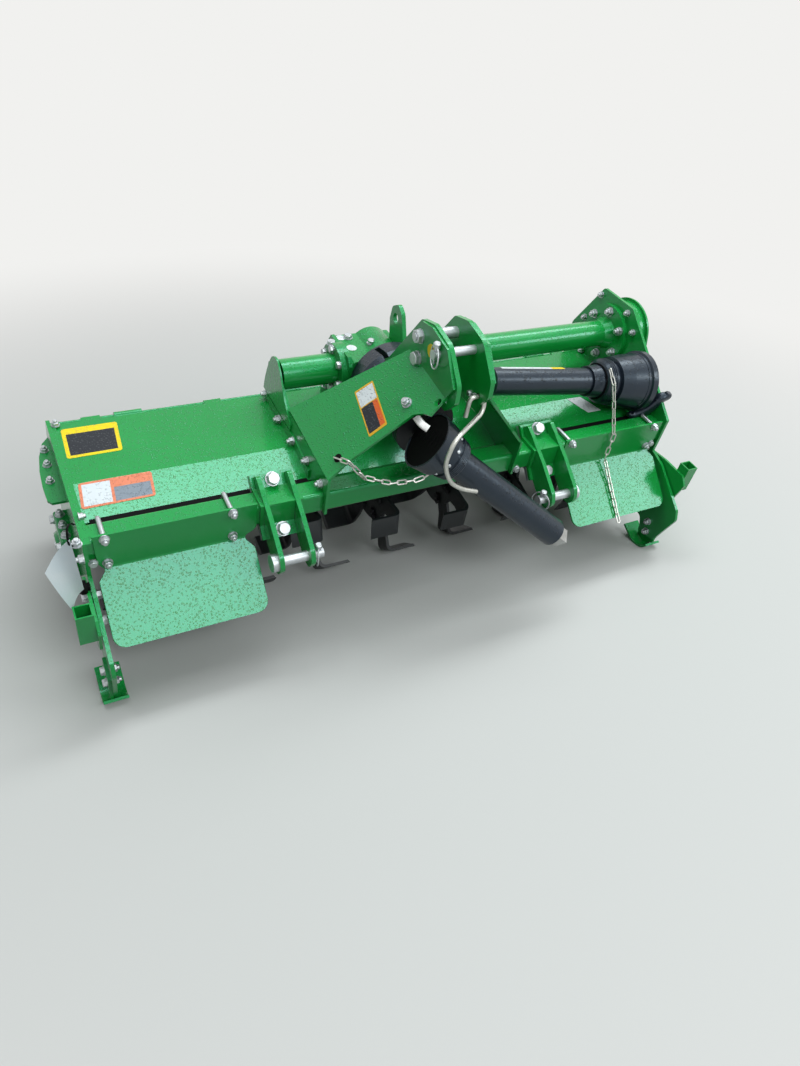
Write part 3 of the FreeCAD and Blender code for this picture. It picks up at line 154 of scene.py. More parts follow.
# %% [markdown]
# ## Light and floor
# The photograph was taken under an overcast sky, which paints a pale sheen on every face that tips
# towards it. A bright world could do that, but it would wash out the upright faces too. So three soft
# lamps stand where the sloping faces mirror them: a long one over the front of the deck, and one high
# in front for each guard flap. A fourth, wide one overhead fills the rest. The floor is pale to the
# camera and in reflections, and fades to white away from the machine.

# %% Floor
def floor_points(flat=11.0, sweep=3.0, turns=96):
    """A disc that curls up at its rim: radius r from 0 to flat, then a quarter circle of radius sweep."""
    reach = np.linspace(0.02, flat, 12)
    curl = np.linspace(0.0, np.pi / 2, 14)[1:]
    radius = np.concatenate([reach, flat + sweep * np.sin(curl)])
    height = np.concatenate([np.zeros(12), sweep * (1 - np.cos(curl))])
    angle = np.linspace(0, 2 * np.pi, turns, endpoint=False)
    return np.stack([radius[:, None] * np.cos(angle), radius[:, None] * np.sin(angle),
                     np.repeat(height[:, None], turns, 1)], axis=-1)


disc = floor_points()
rows, columns = disc.shape[:2]
floor = add_piece("floor", disc, grid_faces(rows, columns, caps=False) + [list(range(columns))])
print("floor of", len(floor.data.polygons), "faces")


# %% Lamps and sky
OVERCAST_TINT = (0.92, 0.98, 1.0)


def area_lamp(name, spot, aim, width, height, watts):
    """A rectangular lamp at spot that looks at aim."""
    data = bpy.data.lights.new(name, "AREA")
    data.shape, data.size, data.size_y, data.energy = "RECTANGLE", width, height, watts
    data.color = OVERCAST_TINT
    item = bpy.data.objects.new(name, data)
    ahead = unit(np.subtract(aim, spot))
    side = unit(np.cross(ahead, (0.0, 0.0, 1.0) if abs(ahead[2]) < 0.95 else (0.0, 1.0, 0.0)))
    stand = np.eye(4)
    stand[:3, 0], stand[:3, 1], stand[:3, 2], stand[:3, 3] = side, np.cross(side, ahead), -ahead, spot
    item.matrix_world = Matrix(stand.tolist())
    item.visible_camera = False
    bpy.context.scene.collection.objects.link(item)
    return item


area_lamp("over_slope", (1.25, 0.62, 3.6), (1.25, 0.62, 0.0), 4.4, 0.9, 78.0)
area_lamp("over_flap_left", (0.15, -3.6, 2.88), (-0.4, -0.2, 0.3), 2.2, 1.3, 66.0)
area_lamp("over_flap_right", (4.55, -3.6, 2.88), (0.5, -0.2, 0.3), 2.3, 1.4, 72.0)
area_lamp("overcast_fill", (0.5, -0.5, 4.2), (0.5, -0.5, 0.0), 6.0, 2.4, 80.0)
SKY_STRENGTH = 0.32
sky = bpy.data.worlds.new("overcast")
bpy.context.scene.world = sky
sky.use_nodes = True
bpy.context.scene.view_settings.view_transform = "Standard"

# %% [markdown]
# ## Finishes
# Every colour is written as the hex value that a paint card would give. One function turns it into the
# linear numbers that the shader wants, and one more adds a node with its settings and its links.

# %% Colour and nodes
def linear(code):
    """An sRGB hex colour as linear numbers: x / 12.92 below 0.04045, else ((x + 0.055) / 1.055) ^ 2.4."""
    value = np.array([int(code[i:i + 2], 16) for i in (1, 3, 5)]) / 255.0
    value = np.where(value <= 0.04045, value / 12.92, ((value + 0.055) / 1.055) ** 2.4)
    return (*value.tolist(), 1.0)


def node(tree, kind, settings=None, inputs=None):
    """Adds one shader node: settings are its own properties, inputs are its sockets, by name or number."""
    made = tree.nodes.new(kind)
    for key, value in (settings or {}).items():
        setattr(made, key, value)
    for key, value in (inputs or {}).items():
        if isinstance(value, bpy.types.NodeSocket):
            tree.links.new(value, made.inputs[key])
        else:
            made.inputs[key].default_value = value
    return made


def new_finish(name, **constants):
    """A material with one Principled shader, whose constant sockets are set by name."""
    finish = bpy.data.materials.new(name)
    finish.use_nodes = True
    tree = finish.node_tree
    tree.nodes.clear()
    shader = node(tree, "ShaderNodeBsdfPrincipled")
    for key, value in constants.items():
        shader.inputs[key.replace("_", " ")].default_value = value
    node(tree, "ShaderNodeOutputMaterial", None, {"Surface": shader.outputs["BSDF"]})
    return finish, tree, shader


# Settings that many nodes share. A colour mix has its factor at 0, its colours at 6 and 7, and gives 2.
COLOURS = {"data_type": "RGBA"}
LARGER = {"operation": "MAXIMUM"}
TIMES = {"operation": "MULTIPLY"}
TIMES_CLAMPED = {"operation": "MULTIPLY", "use_clamp": True}
TIMES_PLUS = {"operation": "MULTIPLY_ADD"}


# %% Sky and floor paint
def rays_that_see(tree):
    """1 for rays from the camera, from a glossy face or through glass, else 0."""
    rays = node(tree, "ShaderNodeLightPath").outputs
    first = node(tree, "ShaderNodeMath", LARGER,
                 {0: rays["Is Camera Ray"], 1: rays["Is Glossy Ray"]}).outputs[0]
    return node(tree, "ShaderNodeMath", LARGER, {0: first, 1: rays["Is Transmission Ray"]}).outputs[0]


BACKDROP = linear("#f1f1ef")
CLEAR_FLOOR, WHITE_FLOOR = 0.7, 3.2
tree = sky.node_tree
tree.nodes.clear()
dim = node(tree, "ShaderNodeBackground", None, {"Color": (0.95, 0.975, 1.0, 1.0), "Strength": SKY_STRENGTH})
clear = node(tree, "ShaderNodeBackground", None, {"Color": BACKDROP, "Strength": 1.0})
both = node(tree, "ShaderNodeMixShader", None,
            {0: rays_that_see(tree), 1: dim.outputs[0], 2: clear.outputs[0]})
node(tree, "ShaderNodeOutputWorld", None, {"Surface": both.outputs[0]})
finish, tree, shader = new_finish("pale_studio_floor", Roughness=0.95, Specular_IOR_Level=0.1)
seen = rays_that_see(tree)
place = node(tree, "ShaderNodeTexCoord").outputs["Object"]
far = node(tree, "ShaderNodeVectorMath", {"operation": "LENGTH"}, {0: place}).outputs["Value"]
away = node(tree, "ShaderNodeMapRange", {"clamp": True, "interpolation_type": "SMOOTHSTEP"},
            {"Value": far, "From Min": CLEAR_FLOOR, "From Max": WHITE_FLOOR,
             "To Min": 0.0, "To Max": 1.0}).outputs[0]
grey = node(tree, "ShaderNodeMix", COLOURS, {0: seen, 6: linear("#6c6b67"), 7: linear("#c6c6c3")}).outputs[2]
tree.links.new(grey, shader.inputs["Base Color"])
white = node(tree, "ShaderNodeEmission", None, {"Color": BACKDROP, "Strength": 1.0})
share = node(tree, "ShaderNodeMath", TIMES, {0: away, 1: seen}).outputs[0]
fade = node(tree, "ShaderNodeMixShader", None, {0: share, 1: shader.outputs[0], 2: white.outputs[0]})
surface = next(n for n in tree.nodes if n.bl_idname == "ShaderNodeOutputMaterial")
tree.links.new(fade.outputs[0], surface.inputs["Surface"])
floor.data.materials.append(finish)

# %% [markdown]
# ## Rain drops
# The machine has stood in drizzle. Drops could be modelled one by one, but there are thousands, so a
# drop is a shallow dome in the bump, on faces that look up. The pattern is a Voronoi field with one drop
# per cell: the dome's height is the square root of 1 - (d / r)^2, where d is the distance to the cell's
# point and r comes from the cell's own random colour.

# %% Drops
# Drops on the paint lie about 4.7 mm apart, and those on the plastic 8.5 mm, because water beads there.
DROP_STEP, GUARD_DROP_STEP = 0.0047, 0.0085
LEAST_DROP = 0.14


def rain_drops(tree, step=DROP_STEP, fullness=0.36):
    """Two sockets: how much of a drop lies at each point, and the dome's height from 0 to 1."""
    place = node(tree, "ShaderNodeTexCoord").outputs
    cells = node(tree, "ShaderNodeTexVoronoi", {"feature": "F1"},
                 {"Vector": place["Object"], "Scale": 1.0 / step, "Randomness": 1.0}).outputs
    draw = node(tree, "ShaderNodeSeparateColor", None, {"Color": cells["Color"]}).outputs[0]
    radius = node(tree, "ShaderNodeMath", TIMES_PLUS, {0: draw, 1: fullness, 2: LEAST_DROP}).outputs[0]
    share = node(tree, "ShaderNodeMath", {"operation": "DIVIDE", "use_clamp": True},
                 {0: cells["Distance"], 1: radius}).outputs[0]
    square = node(tree, "ShaderNodeMath", TIMES, {0: share, 1: share}).outputs[0]
    rest = node(tree, "ShaderNodeMath", {"operation": "SUBTRACT", "use_clamp": True},
                {0: 1.0, 1: square}).outputs[0]
    dome = node(tree, "ShaderNodeMath", {"operation": "SQRT"}, {0: rest}).outputs[0]
    facing = node(tree, "ShaderNodeSeparateXYZ", None, {"Vector": place["Normal"]}).outputs[2]
    upward = node(tree, "ShaderNodeMapRange", {"clamp": True},
                  {"Value": facing, "From Min": 0.15, "From Max": 0.5}).outputs[0]
    height = node(tree, "ShaderNodeMath", TIMES, {0: dome, 1: upward}).outputs[0]
    wet = node(tree, "ShaderNodeMath", TIMES_CLAMPED, {0: height, 1: 4.0}).outputs[0]
    return wet, height


def relief(tree, shader, *layers):
    """Bumps on the shader's normal, each on the one before: height, depth in metres, strength."""
    normal = None
    for height, depth, strength in layers:
        inputs = {"Height": height, "Distance": depth, "Strength": strength}
        if normal:
            inputs["Normal"] = normal
        normal = node(tree, "ShaderNodeBump", None, inputs).outputs["Normal"]
    tree.links.new(normal, shader.inputs["Normal"])


# %% [markdown]
# ## Green farm enamel
# The sheet metal is powder coated: thick, glossy, a little uneven like orange peel. One flat green would
# look like plastic, so the shade drifts slowly over the metal. A thin film of water lies on it, so it
# gets a clear coat, and where it mirrors the sky it turns a pale mint.

# %% Green enamel
# Real orange peel is finer than the 9 mm used here, and would not show at this distance.
SHADE_SPAN, WET_DARKER = 0.16, 0.35


def green_enamel(name, body_colour, deep_colour, peel, grain, roughness):
    """Enamel over steel: slow shifts of shade, a bump of grain size in metres, and rain drops."""
    finish, tree, shader = new_finish(name, Roughness=roughness, IOR=1.52, Coat_Weight=0.4,
                                      Coat_Roughness=0.12, Coat_IOR=1.5,
                                      Specular_Tint=(0.30, 0.92, 0.95, 1.0))
    place = node(tree, "ShaderNodeTexCoord").outputs["Object"]
    cloud = node(tree, "ShaderNodeTexNoise", None,
                 {"Vector": place, "Scale": 1.0 / SHADE_SPAN, "Detail": 4.0,
                  "Roughness": 0.55}).outputs["Fac"]
    deep = linear(deep_colour)
    shade = node(tree, "ShaderNodeMix", COLOURS, {0: cloud, 6: deep, 7: linear(body_colour)}).outputs[2]
    wet, dome = rain_drops(tree)
    share = node(tree, "ShaderNodeMath", TIMES, {0: wet, 1: WET_DARKER}).outputs[0]
    colour = node(tree, "ShaderNodeMix", COLOURS, {0: share, 6: shade, 7: deep}).outputs[2]
    tree.links.new(colour, shader.inputs["Base Color"])
    rough = node(tree, "ShaderNodeMath", TIMES_PLUS, {0: wet, 1: -0.8 * roughness, 2: roughness}).outputs[0]
    tree.links.new(rough, shader.inputs["Roughness"])
    skin = node(tree, "ShaderNodeTexNoise", None,
                {"Vector": place, "Scale": 1.0 / grain, "Detail": 3.0}).outputs["Fac"]
    relief(tree, shader, (skin, peel, 1.0), (dome, 0.001, 0.85))
    return finish


GREEN = green_enamel("green_powder_coat", "#169a3e", "#108733", 0.00022, 0.009, 0.25)
CASTING = green_enamel("green_painted_casting", "#14903a", "#0e7c2f", 0.0009, 0.004, 0.32)
print("two greens mixed")

# %% [markdown]
# ## Plated, drawn and dipped steel
# Bolts, pins and chains are zinc plated: a bright, slightly blue metal with a soft sheen. The square
# shafts are drawn steel, duller and warmer with oil. The rotor is dipped in a dark paint with little
# shine. One function makes them all, because they differ only in shade, roughness and grain.

# %% Metals
def plain_metal(name, colour, deep, roughness, spread, grain, metallic=1.0, **constants):
    """A metal whose shade and roughness wander over a grain given in metres."""
    finish, tree, shader = new_finish(name, Metallic=metallic, **constants)
    place = node(tree, "ShaderNodeTexCoord").outputs["Object"]
    cloud = node(tree, "ShaderNodeTexNoise", None,
                 {"Vector": place, "Scale": 1.0 / grain, "Detail": 5.0, "Roughness": 0.6}).outputs["Fac"]
    shade = node(tree, "ShaderNodeMix", COLOURS, {0: cloud, 6: linear(deep), 7: linear(colour)}).outputs[2]
    tree.links.new(shade, shader.inputs["Base Color"])
    rough = node(tree, "ShaderNodeMath", TIMES_PLUS, {0: cloud, 1: spread, 2: roughness}).outputs[0]
    tree.links.new(rough, shader.inputs["Roughness"])
    relief(tree, shader, (cloud, 0.0003, 0.5))
    return finish


# The numbers are the least roughness, how far it wanders, the grain in metres, and how metallic it is.
ZINC = plain_metal("zinc_plating", "#ced2d5", "#a2a7ab", 0.36, 0.18, 0.006)
CHAIN_ZINC = plain_metal("dull_zinc_chain", "#dcdcd6", "#a3a39c", 0.3, 0.2, 0.004)
DRAWN = plain_metal("oiled_drawn_steel", "#c4c5c4", "#94938f", 0.32, 0.18, 0.02)
# Dark steel: the tine bolts' own finish, and painted shade on the input shaft, whose clutch and joint lie in
# shade inside the bell.
DARK_STEEL_AND_SHADE = plain_metal("dark_steel_and_clutch_shade", "#2b2c2f", "#16171a", 0.38, 0.2, 0.012, 0.6)
DIPPED = plain_metal("dark_dip_paint", "#23282b", "#141719", 0.36, 0.25, 0.03, 0.0)
# Black rubber for the tag tie, the knob and the wire ring. The same black is painted shade in the deck slot,
# at the joint and in the chain hole.
BLACK_RUBBER_AND_SHADE = plain_metal("black_rubber_and_shade", "#08090a", "#040405", 0.7, 0.1, 0.01, 0.0, Specular_IOR_Level=0.1)

# %% [markdown]
# ## Black polyethylene guards
# The driveline guards are blow-moulded plastic: black with a slate sheen where the sky falls on it, a
# faint waviness from the mould, and drops of rain that stand proud because water beads on it.

# %% Guard plastic
GUARD, tree, shader = new_finish("black_polyethylene", Roughness=0.34, IOR=1.5, Coat_Weight=0.25,
                                 Coat_Roughness=0.2, Specular_Tint=(0.62, 0.82, 1.0, 1.0))
place = node(tree, "ShaderNodeTexCoord").outputs["Object"]
wave = node(tree, "ShaderNodeTexNoise", None,
            {"Vector": place, "Scale": 1.0 / 0.03, "Detail": 2.0}).outputs["Fac"]
wet, dome = rain_drops(tree, GUARD_DROP_STEP, 0.34)
film = node(tree, "ShaderNodeMix", COLOURS, {0: wave, 6: linear("#0d121b"), 7: linear("#151c28")}).outputs[2]
share = node(tree, "ShaderNodeMath", TIMES, {0: wet, 1: 0.6}).outputs[0]
colour = node(tree, "ShaderNodeMix", COLOURS, {0: share, 6: film, 7: linear("#07090d")}).outputs[2]
tree.links.new(colour, shader.inputs["Base Color"])
relief(tree, shader, (wave, 0.0006, 1.0), (dome, 0.0016, 0.9))

# %% Dress the CAD nodes
BY_SLOT = {"green_paint": GREEN, "green_casting": CASTING, "zinc": ZINC, "bright_steel": DRAWN,
           "tine_steel": DIPPED, "black_plastic": GUARD}
# The input shaft takes the dark steel as painted shade: its clutch and joint lie in shade inside the bell.
BY_NODE = {"chain_front": CHAIN_ZINC, "chain_side": CHAIN_ZINC, "driveline_hook": CHAIN_ZINC,
           "input_shaft": DARK_STEEL_AND_SHADE}
for part in frame["record"]["subparts"]:
    item = frame["nodes"][part["node"]]
    item.data.materials.clear()
    item.data.materials.append(BY_NODE.get(part["node"], BY_SLOT[part["material_slot"]]))

# %% [markdown]
# ## Bolts and nuts
# A bolt head is one closed surface: rings of points climb from the washer to the hexagon, and a ring's
# sixness says how far it is from a circle to a hexagon. A nut has the stud's end on top. The sizes are
# those of an M12 bolt, and other sizes are scaled from it. Each one is turned a little further than the
# last about its own axis, because nobody lines bolts up.

# %% Bolt shapes
# Rings of an M12 head and an M12 nut: height above the seat, radius or half the width over the flats,
# sixness.
HEAD = [(0.0, 12.0, 0), (2.4, 12.0, 0), (2.4, 9.0, 1), (8.8, 9.0, 1), (9.9, 8.4, 0.15), (9.9, 6.0, 0)]
NUT = [(0.0, 12.0, 0), (2.4, 12.0, 0), (2.4, 9.0, 1), (11.0, 9.0, 1), (12.0, 8.4, 0.15), (12.0, 5.9, 0),
       (17.0, 5.9, 0), (18.2, 4.8, 0), (18.2, 3.0, 0)]


def lathe(rings, columns=24):
    """Rings round the Z axis: radius r times 1 + sixness (h - 1), h being a unit hexagon's radius."""
    height, radius, six = np.array(rings, float).T
    angle = even_angles(columns)
    hexagon = 1.0 / np.cos((angle + np.pi / 6) % (np.pi / 3) - np.pi / 6)
    reach = radius[:, None] * (1 + six[:, None] * (hexagon - 1))
    climb = np.repeat(height[:, None], columns, 1)
    return np.stack([reach * np.cos(angle), reach * np.sin(angle), climb], -1)


def upright_frames(ways, twists):
    """For each direction a turned frame whose third row is the direction, twisted about it."""
    ways = np.array([unit(w) for w in np.atleast_2d(ways)])
    helper = np.where(np.abs(ways[:, 2:]) < 0.9, [[0.0, 0.0, 1.0]], [[0.0, 1.0, 0.0]])
    first = np.cross(helper, ways)
    first /= np.linalg.norm(first, axis=1)[:, None]
    second = np.cross(ways, first)
    c, s = np.cos(twists)[:, None], np.sin(twists)[:, None]
    return np.stack([c * first + s * second, c * second - s * first, ways], axis=1)


TWIST_STEP = np.radians(37.0)


def set_out(name, rings, spots, ways, metric=12.0, body="frame", paint=None, columns=24):
    """Copies of a turned shape at level-frame spots, each along its way, joined into one piece."""
    spots = np.atleast_2d(np.array(spots, float))
    ways = np.broadcast_to(np.atleast_2d(np.array(ways, float)), spots.shape)
    shape = lathe(rings, columns) * (metric / 12.0)
    rows = shape.shape[0]
    flat = shape.reshape(-1, 3)
    frames = upright_frames(ways, np.arange(len(spots)) * TWIST_STEP)
    points = spots[:, None, :] + np.einsum("pi,kij->kpj", flat, frames)
    one = grid_faces(rows, columns)
    faces = [[i + k * len(flat) for i in face] for k in range(len(spots)) for face in one]
    return add_level(name, points, faces, body, paint or ZINC)


# %% [markdown]
# ## Fasteners on the frame
# The places are read from the photograph and set on the face of the piece that each bolt holds. What
# the camera can't see on the right is the mirror of what it sees on the left.

# %% Bulkheads and deck corners
BULKHEAD_X, UPSTAND_X, INNER_HALF, PLATE_OUT = 246.0, 250.0, 722.0, 730.0
for side, hand in SIDES:
    spots = [(hand * BULKHEAD_X, 352, 15), (hand * UPSTAND_X, 257, 11), (hand * UPSTAND_X, 172, 12),
             (hand * BULKHEAD_X, 96, 15), (hand * BULKHEAD_X, 19, 14)]
    set_out("bulkhead_nuts_" + side, NUT, spots, (hand, 0, 0), 10.0)
    corner = [(hand * INNER_HALF, 66, 6), (hand * (INNER_HALF - 9), 360, 4)]
    set_out("deck_corner_nuts_" + side, NUT, corner, [(-hand, 0, 0), UP], 9.0)
print("bulkhead and deck bolts set")

# %% Clamps of the lower hitch
HITCH_HALF, TUBE, JAW_BOLT, JAW_FACE = 341.5, 50.8, 53.0, 9.2
DIAGONAL, AWAY = unit((0, 1, 1)), unit((0, -1, 1))
CLAMP_HEAD = [(0.0, 15.5, 0), (3.0, 15.5, 0), (3.0, 12.0, 1), (16.2, 12.0, 1), (17.4, 11.2, 0.15),
              (17.4, 7.0, 0)]
for side, hand in SIDES:
    centre = np.array((hand * HITCH_HALF, TUBE / 2, -TUBE / 2))
    seats = [centre + DIAGONAL * JAW_BOLT * sign for sign in (1, -1)]
    set_out("clamp_heads_" + side, CLAMP_HEAD, [s + AWAY * JAW_FACE for s in seats], AWAY)
    set_out("clamp_nuts_" + side, CLAMP_HEAD, [s - AWAY * JAW_FACE for s in seats], -AWAY)

# %% [markdown]
# ## Rods that are bent
# U-bolts, spring rings and wire loops are a round section carried along a flat path. Because the path
# is flat, its normal is the same everywhere, so the section needs only that normal and the path's own
# direction, and it never twists.

# %% Bent rods
def arc(centre, first, second, radius, start, stop, steps):
    """Points centre + r (cos t first + sin t second), t in degrees."""
    t = np.radians(np.linspace(start, stop, steps))[:, None]
    return np.asarray(centre, float) + radius * (np.cos(t) * unit(first) + np.sin(t) * unit(second))


def bent_rod(name, path, normal, radius, closed=False, paint=None, body="frame", sides=12):
    """A tube: path + r (cos a n + sin a n x t), n the path's fixed normal and t its direction."""
    path = np.asarray(path, float)
    if closed:
        way = np.roll(path, -1, 0) - np.roll(path, 1, 0)
    else:
        way = np.gradient(path, axis=0)
    way /= np.linalg.norm(way, axis=1)[:, None]
    normal = np.broadcast_to(unit(normal), path.shape)
    across = np.cross(normal, way)
    angle = even_angles(sides)
    ring = normal[:, None] * np.cos(angle)[:, None] + across[:, None] * np.sin(angle)[:, None]
    points = path[:, None] + radius * ring
    faces = grid_faces(len(path), sides, looped=closed, turned=True)
    return add_level(name, points, faces, body, paint or ZINC)


# %% U-bolts that hold the guard strips to the tube
STRIP_FACE, LEG_TOP, LEG_LOW, BOW_Y = -5.0, 5.8, -56.6, 57.0
U_BOLTS = [("left_end", -690.0), ("left_inner", -445.0), ("right_inner", 412.0), ("right_end", 684.0)]
for name, x in U_BOLTS:
    path = np.vstack([[(x, STRIP_FACE - 2, LEG_TOP), (x, 10, LEG_TOP), (x, BOW_Y - 6, LEG_TOP)],
                      arc((x, BOW_Y - 6, LEG_TOP - 6), UP, (0, 1, 0), 6, 10, 90, 5),
                      arc((x, BOW_Y - 6, LEG_LOW + 6), (0, 1, 0), (0, 0, -1), 6, 0, 80, 5),
                      [(x, BOW_Y - 6, LEG_LOW), (x, 10, LEG_LOW), (x, STRIP_FACE - 2, LEG_LOW)]])
    bent_rod("u_bolt_" + name, path, (1, 0, 0), 5.0)
set_out("u_bolt_nuts", NUT, [(x, STRIP_FACE, z) for _, x in U_BOLTS for z in (LEG_TOP, LEG_LOW)], FRONT, 10.0)
set_out("strip_end_bolts", HEAD, [(-716, -8, -48), (701, -5, -52), (252, -12, -34)], FRONT, 9.0)
print("u-bolts", len(U_BOLTS))

# %% [markdown]
# ## Painted shade in the deck slot, and a closed tube
# A black strip fills the slot between the tube and the lip of the deck on each side. It is painted shade:
# it stands in for the shadow in the slot, so the slot reads as a black line. On the left, a rounded ear of
# the bulkhead covers the end of the cover tube.

# %% Painted shade strips and ear
def bar_section(height, width):
    """A rounded rectangle of 16 points: each coordinate is the square root of a cosine or a sine."""
    a = even_angles(16)
    flat = np.stack([np.cos(a), np.sin(a)], -1)
    return np.sign(flat) * np.abs(flat) ** 0.5 * (width / 2, height / 2)


def curve_through(points, steps=24):
    """A smooth path through points: cubic pieces whose slope at a point is half the step round it."""
    points = np.asarray(points, float)
    slope = np.gradient(points, axis=0)
    t = np.linspace(0, len(points) - 1, steps)
    i = np.minimum(t.astype(int), len(points) - 2)
    f = (t - i)[:, None]
    start = (2 * f ** 3 - 3 * f ** 2 + 1) * points[i] + (f ** 3 - 2 * f ** 2 + f) * slope[i]
    return start + (3 * f ** 2 - 2 * f ** 3) * points[i + 1] + (f ** 3 - f ** 2) * slope[i + 1]


SLOT_SHADE_OUT, SLOT_SHADE_IN, SLOT_SHADE_Y, SLOT_SHADE_Z = 704.0, 256.0, 62.5, -13.0
# Painted shade: a black strip under each deck lip stands in for the shadow in the slot.
for side, hand in SIDES:
    strip = np.empty((30, 16, 3))
    strip[..., 0] = (hand * np.linspace(SLOT_SHADE_OUT, SLOT_SHADE_IN, 30))[:, None]
    strip[..., 1:] = bar_section(5.0, 19.0) + (SLOT_SHADE_Y, SLOT_SHADE_Z)
    faces = grid_faces(30, 16, turned=hand > 0)
    add_level("deck_slot_shade_strip_" + side, strip, faces, "frame", BLACK_RUBBER_AND_SHADE)

# The ear as (Y, Z) in the bulkhead's plane, from its rear foot over the tube to its front foot.
EAR = [(366, 26), (358, 62), (342, 104), (322, 136), (296, 144), (274, 128), (254, 100), (236, 76), (212, 52),
       (196, 40), (194, 26)]
EAR_FACES = (-246.1, -250.0)
rim = curve_through(EAR, 90)
ear = np.stack([np.column_stack([np.full(90, x), rim]) for x in EAR_FACES])
add_level("bulkhead_ear", ear, grid_faces(2, 90, turned=True), "frame", GREEN)
print("seals and ear fitted")

# %% [markdown]
# ## Guard flaps as one bent sheet each
# A flap is one sheet: it stands in front of the tube, bends by 50 degrees and slopes forward. Its rows
# walk down the bend line and its columns run round the sheet's section, a flat loop with small bevels.
# The lower corners are quarter circles, so near the end the half width is w - r + sqrt(r^2 - (r - s)^2).

# %% Flap sheets
FLAP_TURN, STRIP_TOP, BEND_TOP, FLAP_RUN = np.radians(49.9), 15.0, -66.6, 155.8


def flap_sheet(hand, inside=402.0, outside=712.0, half_gauge=2.5, bevel=0.8, corner=24.0, bend=9.0):
    """Rows along the bent middle line, eight columns round the section, in level millimetres."""
    mid_y = -half_gauge
    arc_way = np.linspace(0.0, FLAP_TURN, 9)
    bent = np.stack([mid_y - bend + bend * np.cos(arc_way), BEND_TOP - bend * np.sin(arc_way)], -1)
    stand = np.linspace(STRIP_TOP, BEND_TOP, 26)
    slope = np.array((-np.sin(FLAP_TURN), -np.cos(FLAP_TURN)))
    foot = np.array((mid_y - bend + bend * np.cos(FLAP_TURN), BEND_TOP - bend * np.sin(FLAP_TURN)))
    straight = FLAP_RUN - corner
    end = np.concatenate([np.linspace(0.0, straight, 24)[1:],
                          straight + corner * np.sin(np.linspace(0.0, np.pi / 2 - 0.02, 14))[1:]])
    middle = np.vstack([np.stack([np.full(26, mid_y), stand], -1), bent[1:], foot + slope * end[:, None]])
    way = np.gradient(middle, axis=0)
    way /= np.linalg.norm(way, axis=1)[:, None]
    face = np.stack([way[:, 1], -way[:, 0]], -1)
    walked = np.concatenate([[0.0], np.cumsum(np.linalg.norm(np.diff(middle, axis=0), axis=1))])
    left = walked[-1] - walked
    shrink = corner - np.sqrt(np.clip(corner ** 2 - np.clip(corner - left, 0.0, corner) ** 2, 0.0, None))
    notch_in = np.interp(walked, [0, 62, 70, 80, 92, 104, 112, 300], [-8, -8, -3, 14, 16, 6, 0, 0])
    notch_out = np.interp(walked, [0, 70, 80, 92, 104, 112, 300], [0, 3, 8, 16, 6, 0, 0])
    near, away = inside + notch_in + shrink, outside - notch_out - shrink
    across = np.stack([near + bevel, near, near, near + bevel, away - bevel, away, away, away - bevel], -1)
    depth = np.array([1, 0.68, -0.68, -1, -1, -0.68, 0.68, 1]) * half_gauge
    points = np.empty(across.shape + (3,))
    points[..., 0] = hand * across
    points[..., 1:] = middle[:, None] + face[:, None] * depth[:, None]
    return points


for side, hand in SIDES:
    sheet = flap_sheet(hand)
    faces = grid_faces(*sheet.shape[:2], turned=hand > 0)
    flap = add_level("flap_" + side, sheet, faces, "frame", GREEN, 40.0)
    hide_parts("deflector_" + side)
print("flaps", sheet.shape[0], "rows")

# %% [markdown]
# ## Pins with spring rings
# Each hitch pin is kept by a lynch pin: a short plug through the pin, with a spring ring that snaps
# round it. The plug is a lathe shape and the ring a closed bent rod.

# %% Lynch pins
PLUG = [(-21.0, 2.4, 0), (-18.0, 4.4, 0), (16.0, 4.4, 0), (16.0, 7.5, 0), (24.0, 7.5, 0), (26.0, 5.5, 0)]


LYNCH_RING, LYNCH_WIRE = 23.0, 1.7


def lynch_pin(name, x, y, z, lean):
    """A plug along Z through a pin at (x, y, z), and an upright ring that is turned about it."""
    set_out(name + "_plug", PLUG, [(x, y, z)], UP)
    tilt = np.radians(lean)
    first, second = (np.sin(tilt), np.cos(tilt), 0.0), (0.0, 0.0, 1.0)
    ring = arc((x, y, z - 5), first, second, LYNCH_RING, 0, 352, 45)
    bent_rod(name + "_ring", ring, np.cross(first, second), LYNCH_WIRE, closed=True)


lynch_pin("lynch_lower_left", -290.0, -89.0, -76.0, 18.0)
lynch_pin("lynch_lower_right", 290.0, -89.0, -76.0, -24.0)
lynch_pin("lynch_top", -56.0, -17.0, 325.0, 14.0)
MAST_CHEEK = 49.0
SPACER_NUT = [(0.0, 15.0, 0), (2.6, 15.0, 0), (2.6, 12.6, 1), (11.4, 12.6, 1), (12.6, 11.8, 0.15),
              (12.6, 7.0, 0)]
spots = [(-MAST_CHEEK, 54, 322), (MAST_CHEEK, 54, 322), (-MAST_CHEEK, 48, 276)]
set_out("mast_spacer_nuts", SPACER_NUT, spots, [LEFT, RIGHT, LEFT])
PANEL_UP = unit((-0.72, -0.06, 0.69))
set_out("brace_nut_left", NUT, [(-93.5, -12.9, 215.6)], PANEL_UP, 11.0)
MIRROR = np.array((-1, 1, 1))
set_out("brace_nut_right", NUT, [(93.5, -12.9, 215.6)], PANEL_UP * MIRROR, 11.0)
set_out("lobe_bolts", HEAD, [(33, -40, 238), (33, -58, 243)], LEFT, 7.0)
print("pins kept")

# %% Gearbox and gear plate
SHAFT_Y, SHAFT_Z = 300.0, 100.0


def ring_of(count, radius, x, y, z, start):
    """Places on a circle in the YZ plane: y + r cos a, z + r sin a."""
    a = np.radians(start + np.arange(count) * 360.0 / count)
    return np.stack([np.full(count, x), y + radius * np.cos(a), z + radius * np.sin(a)], -1)


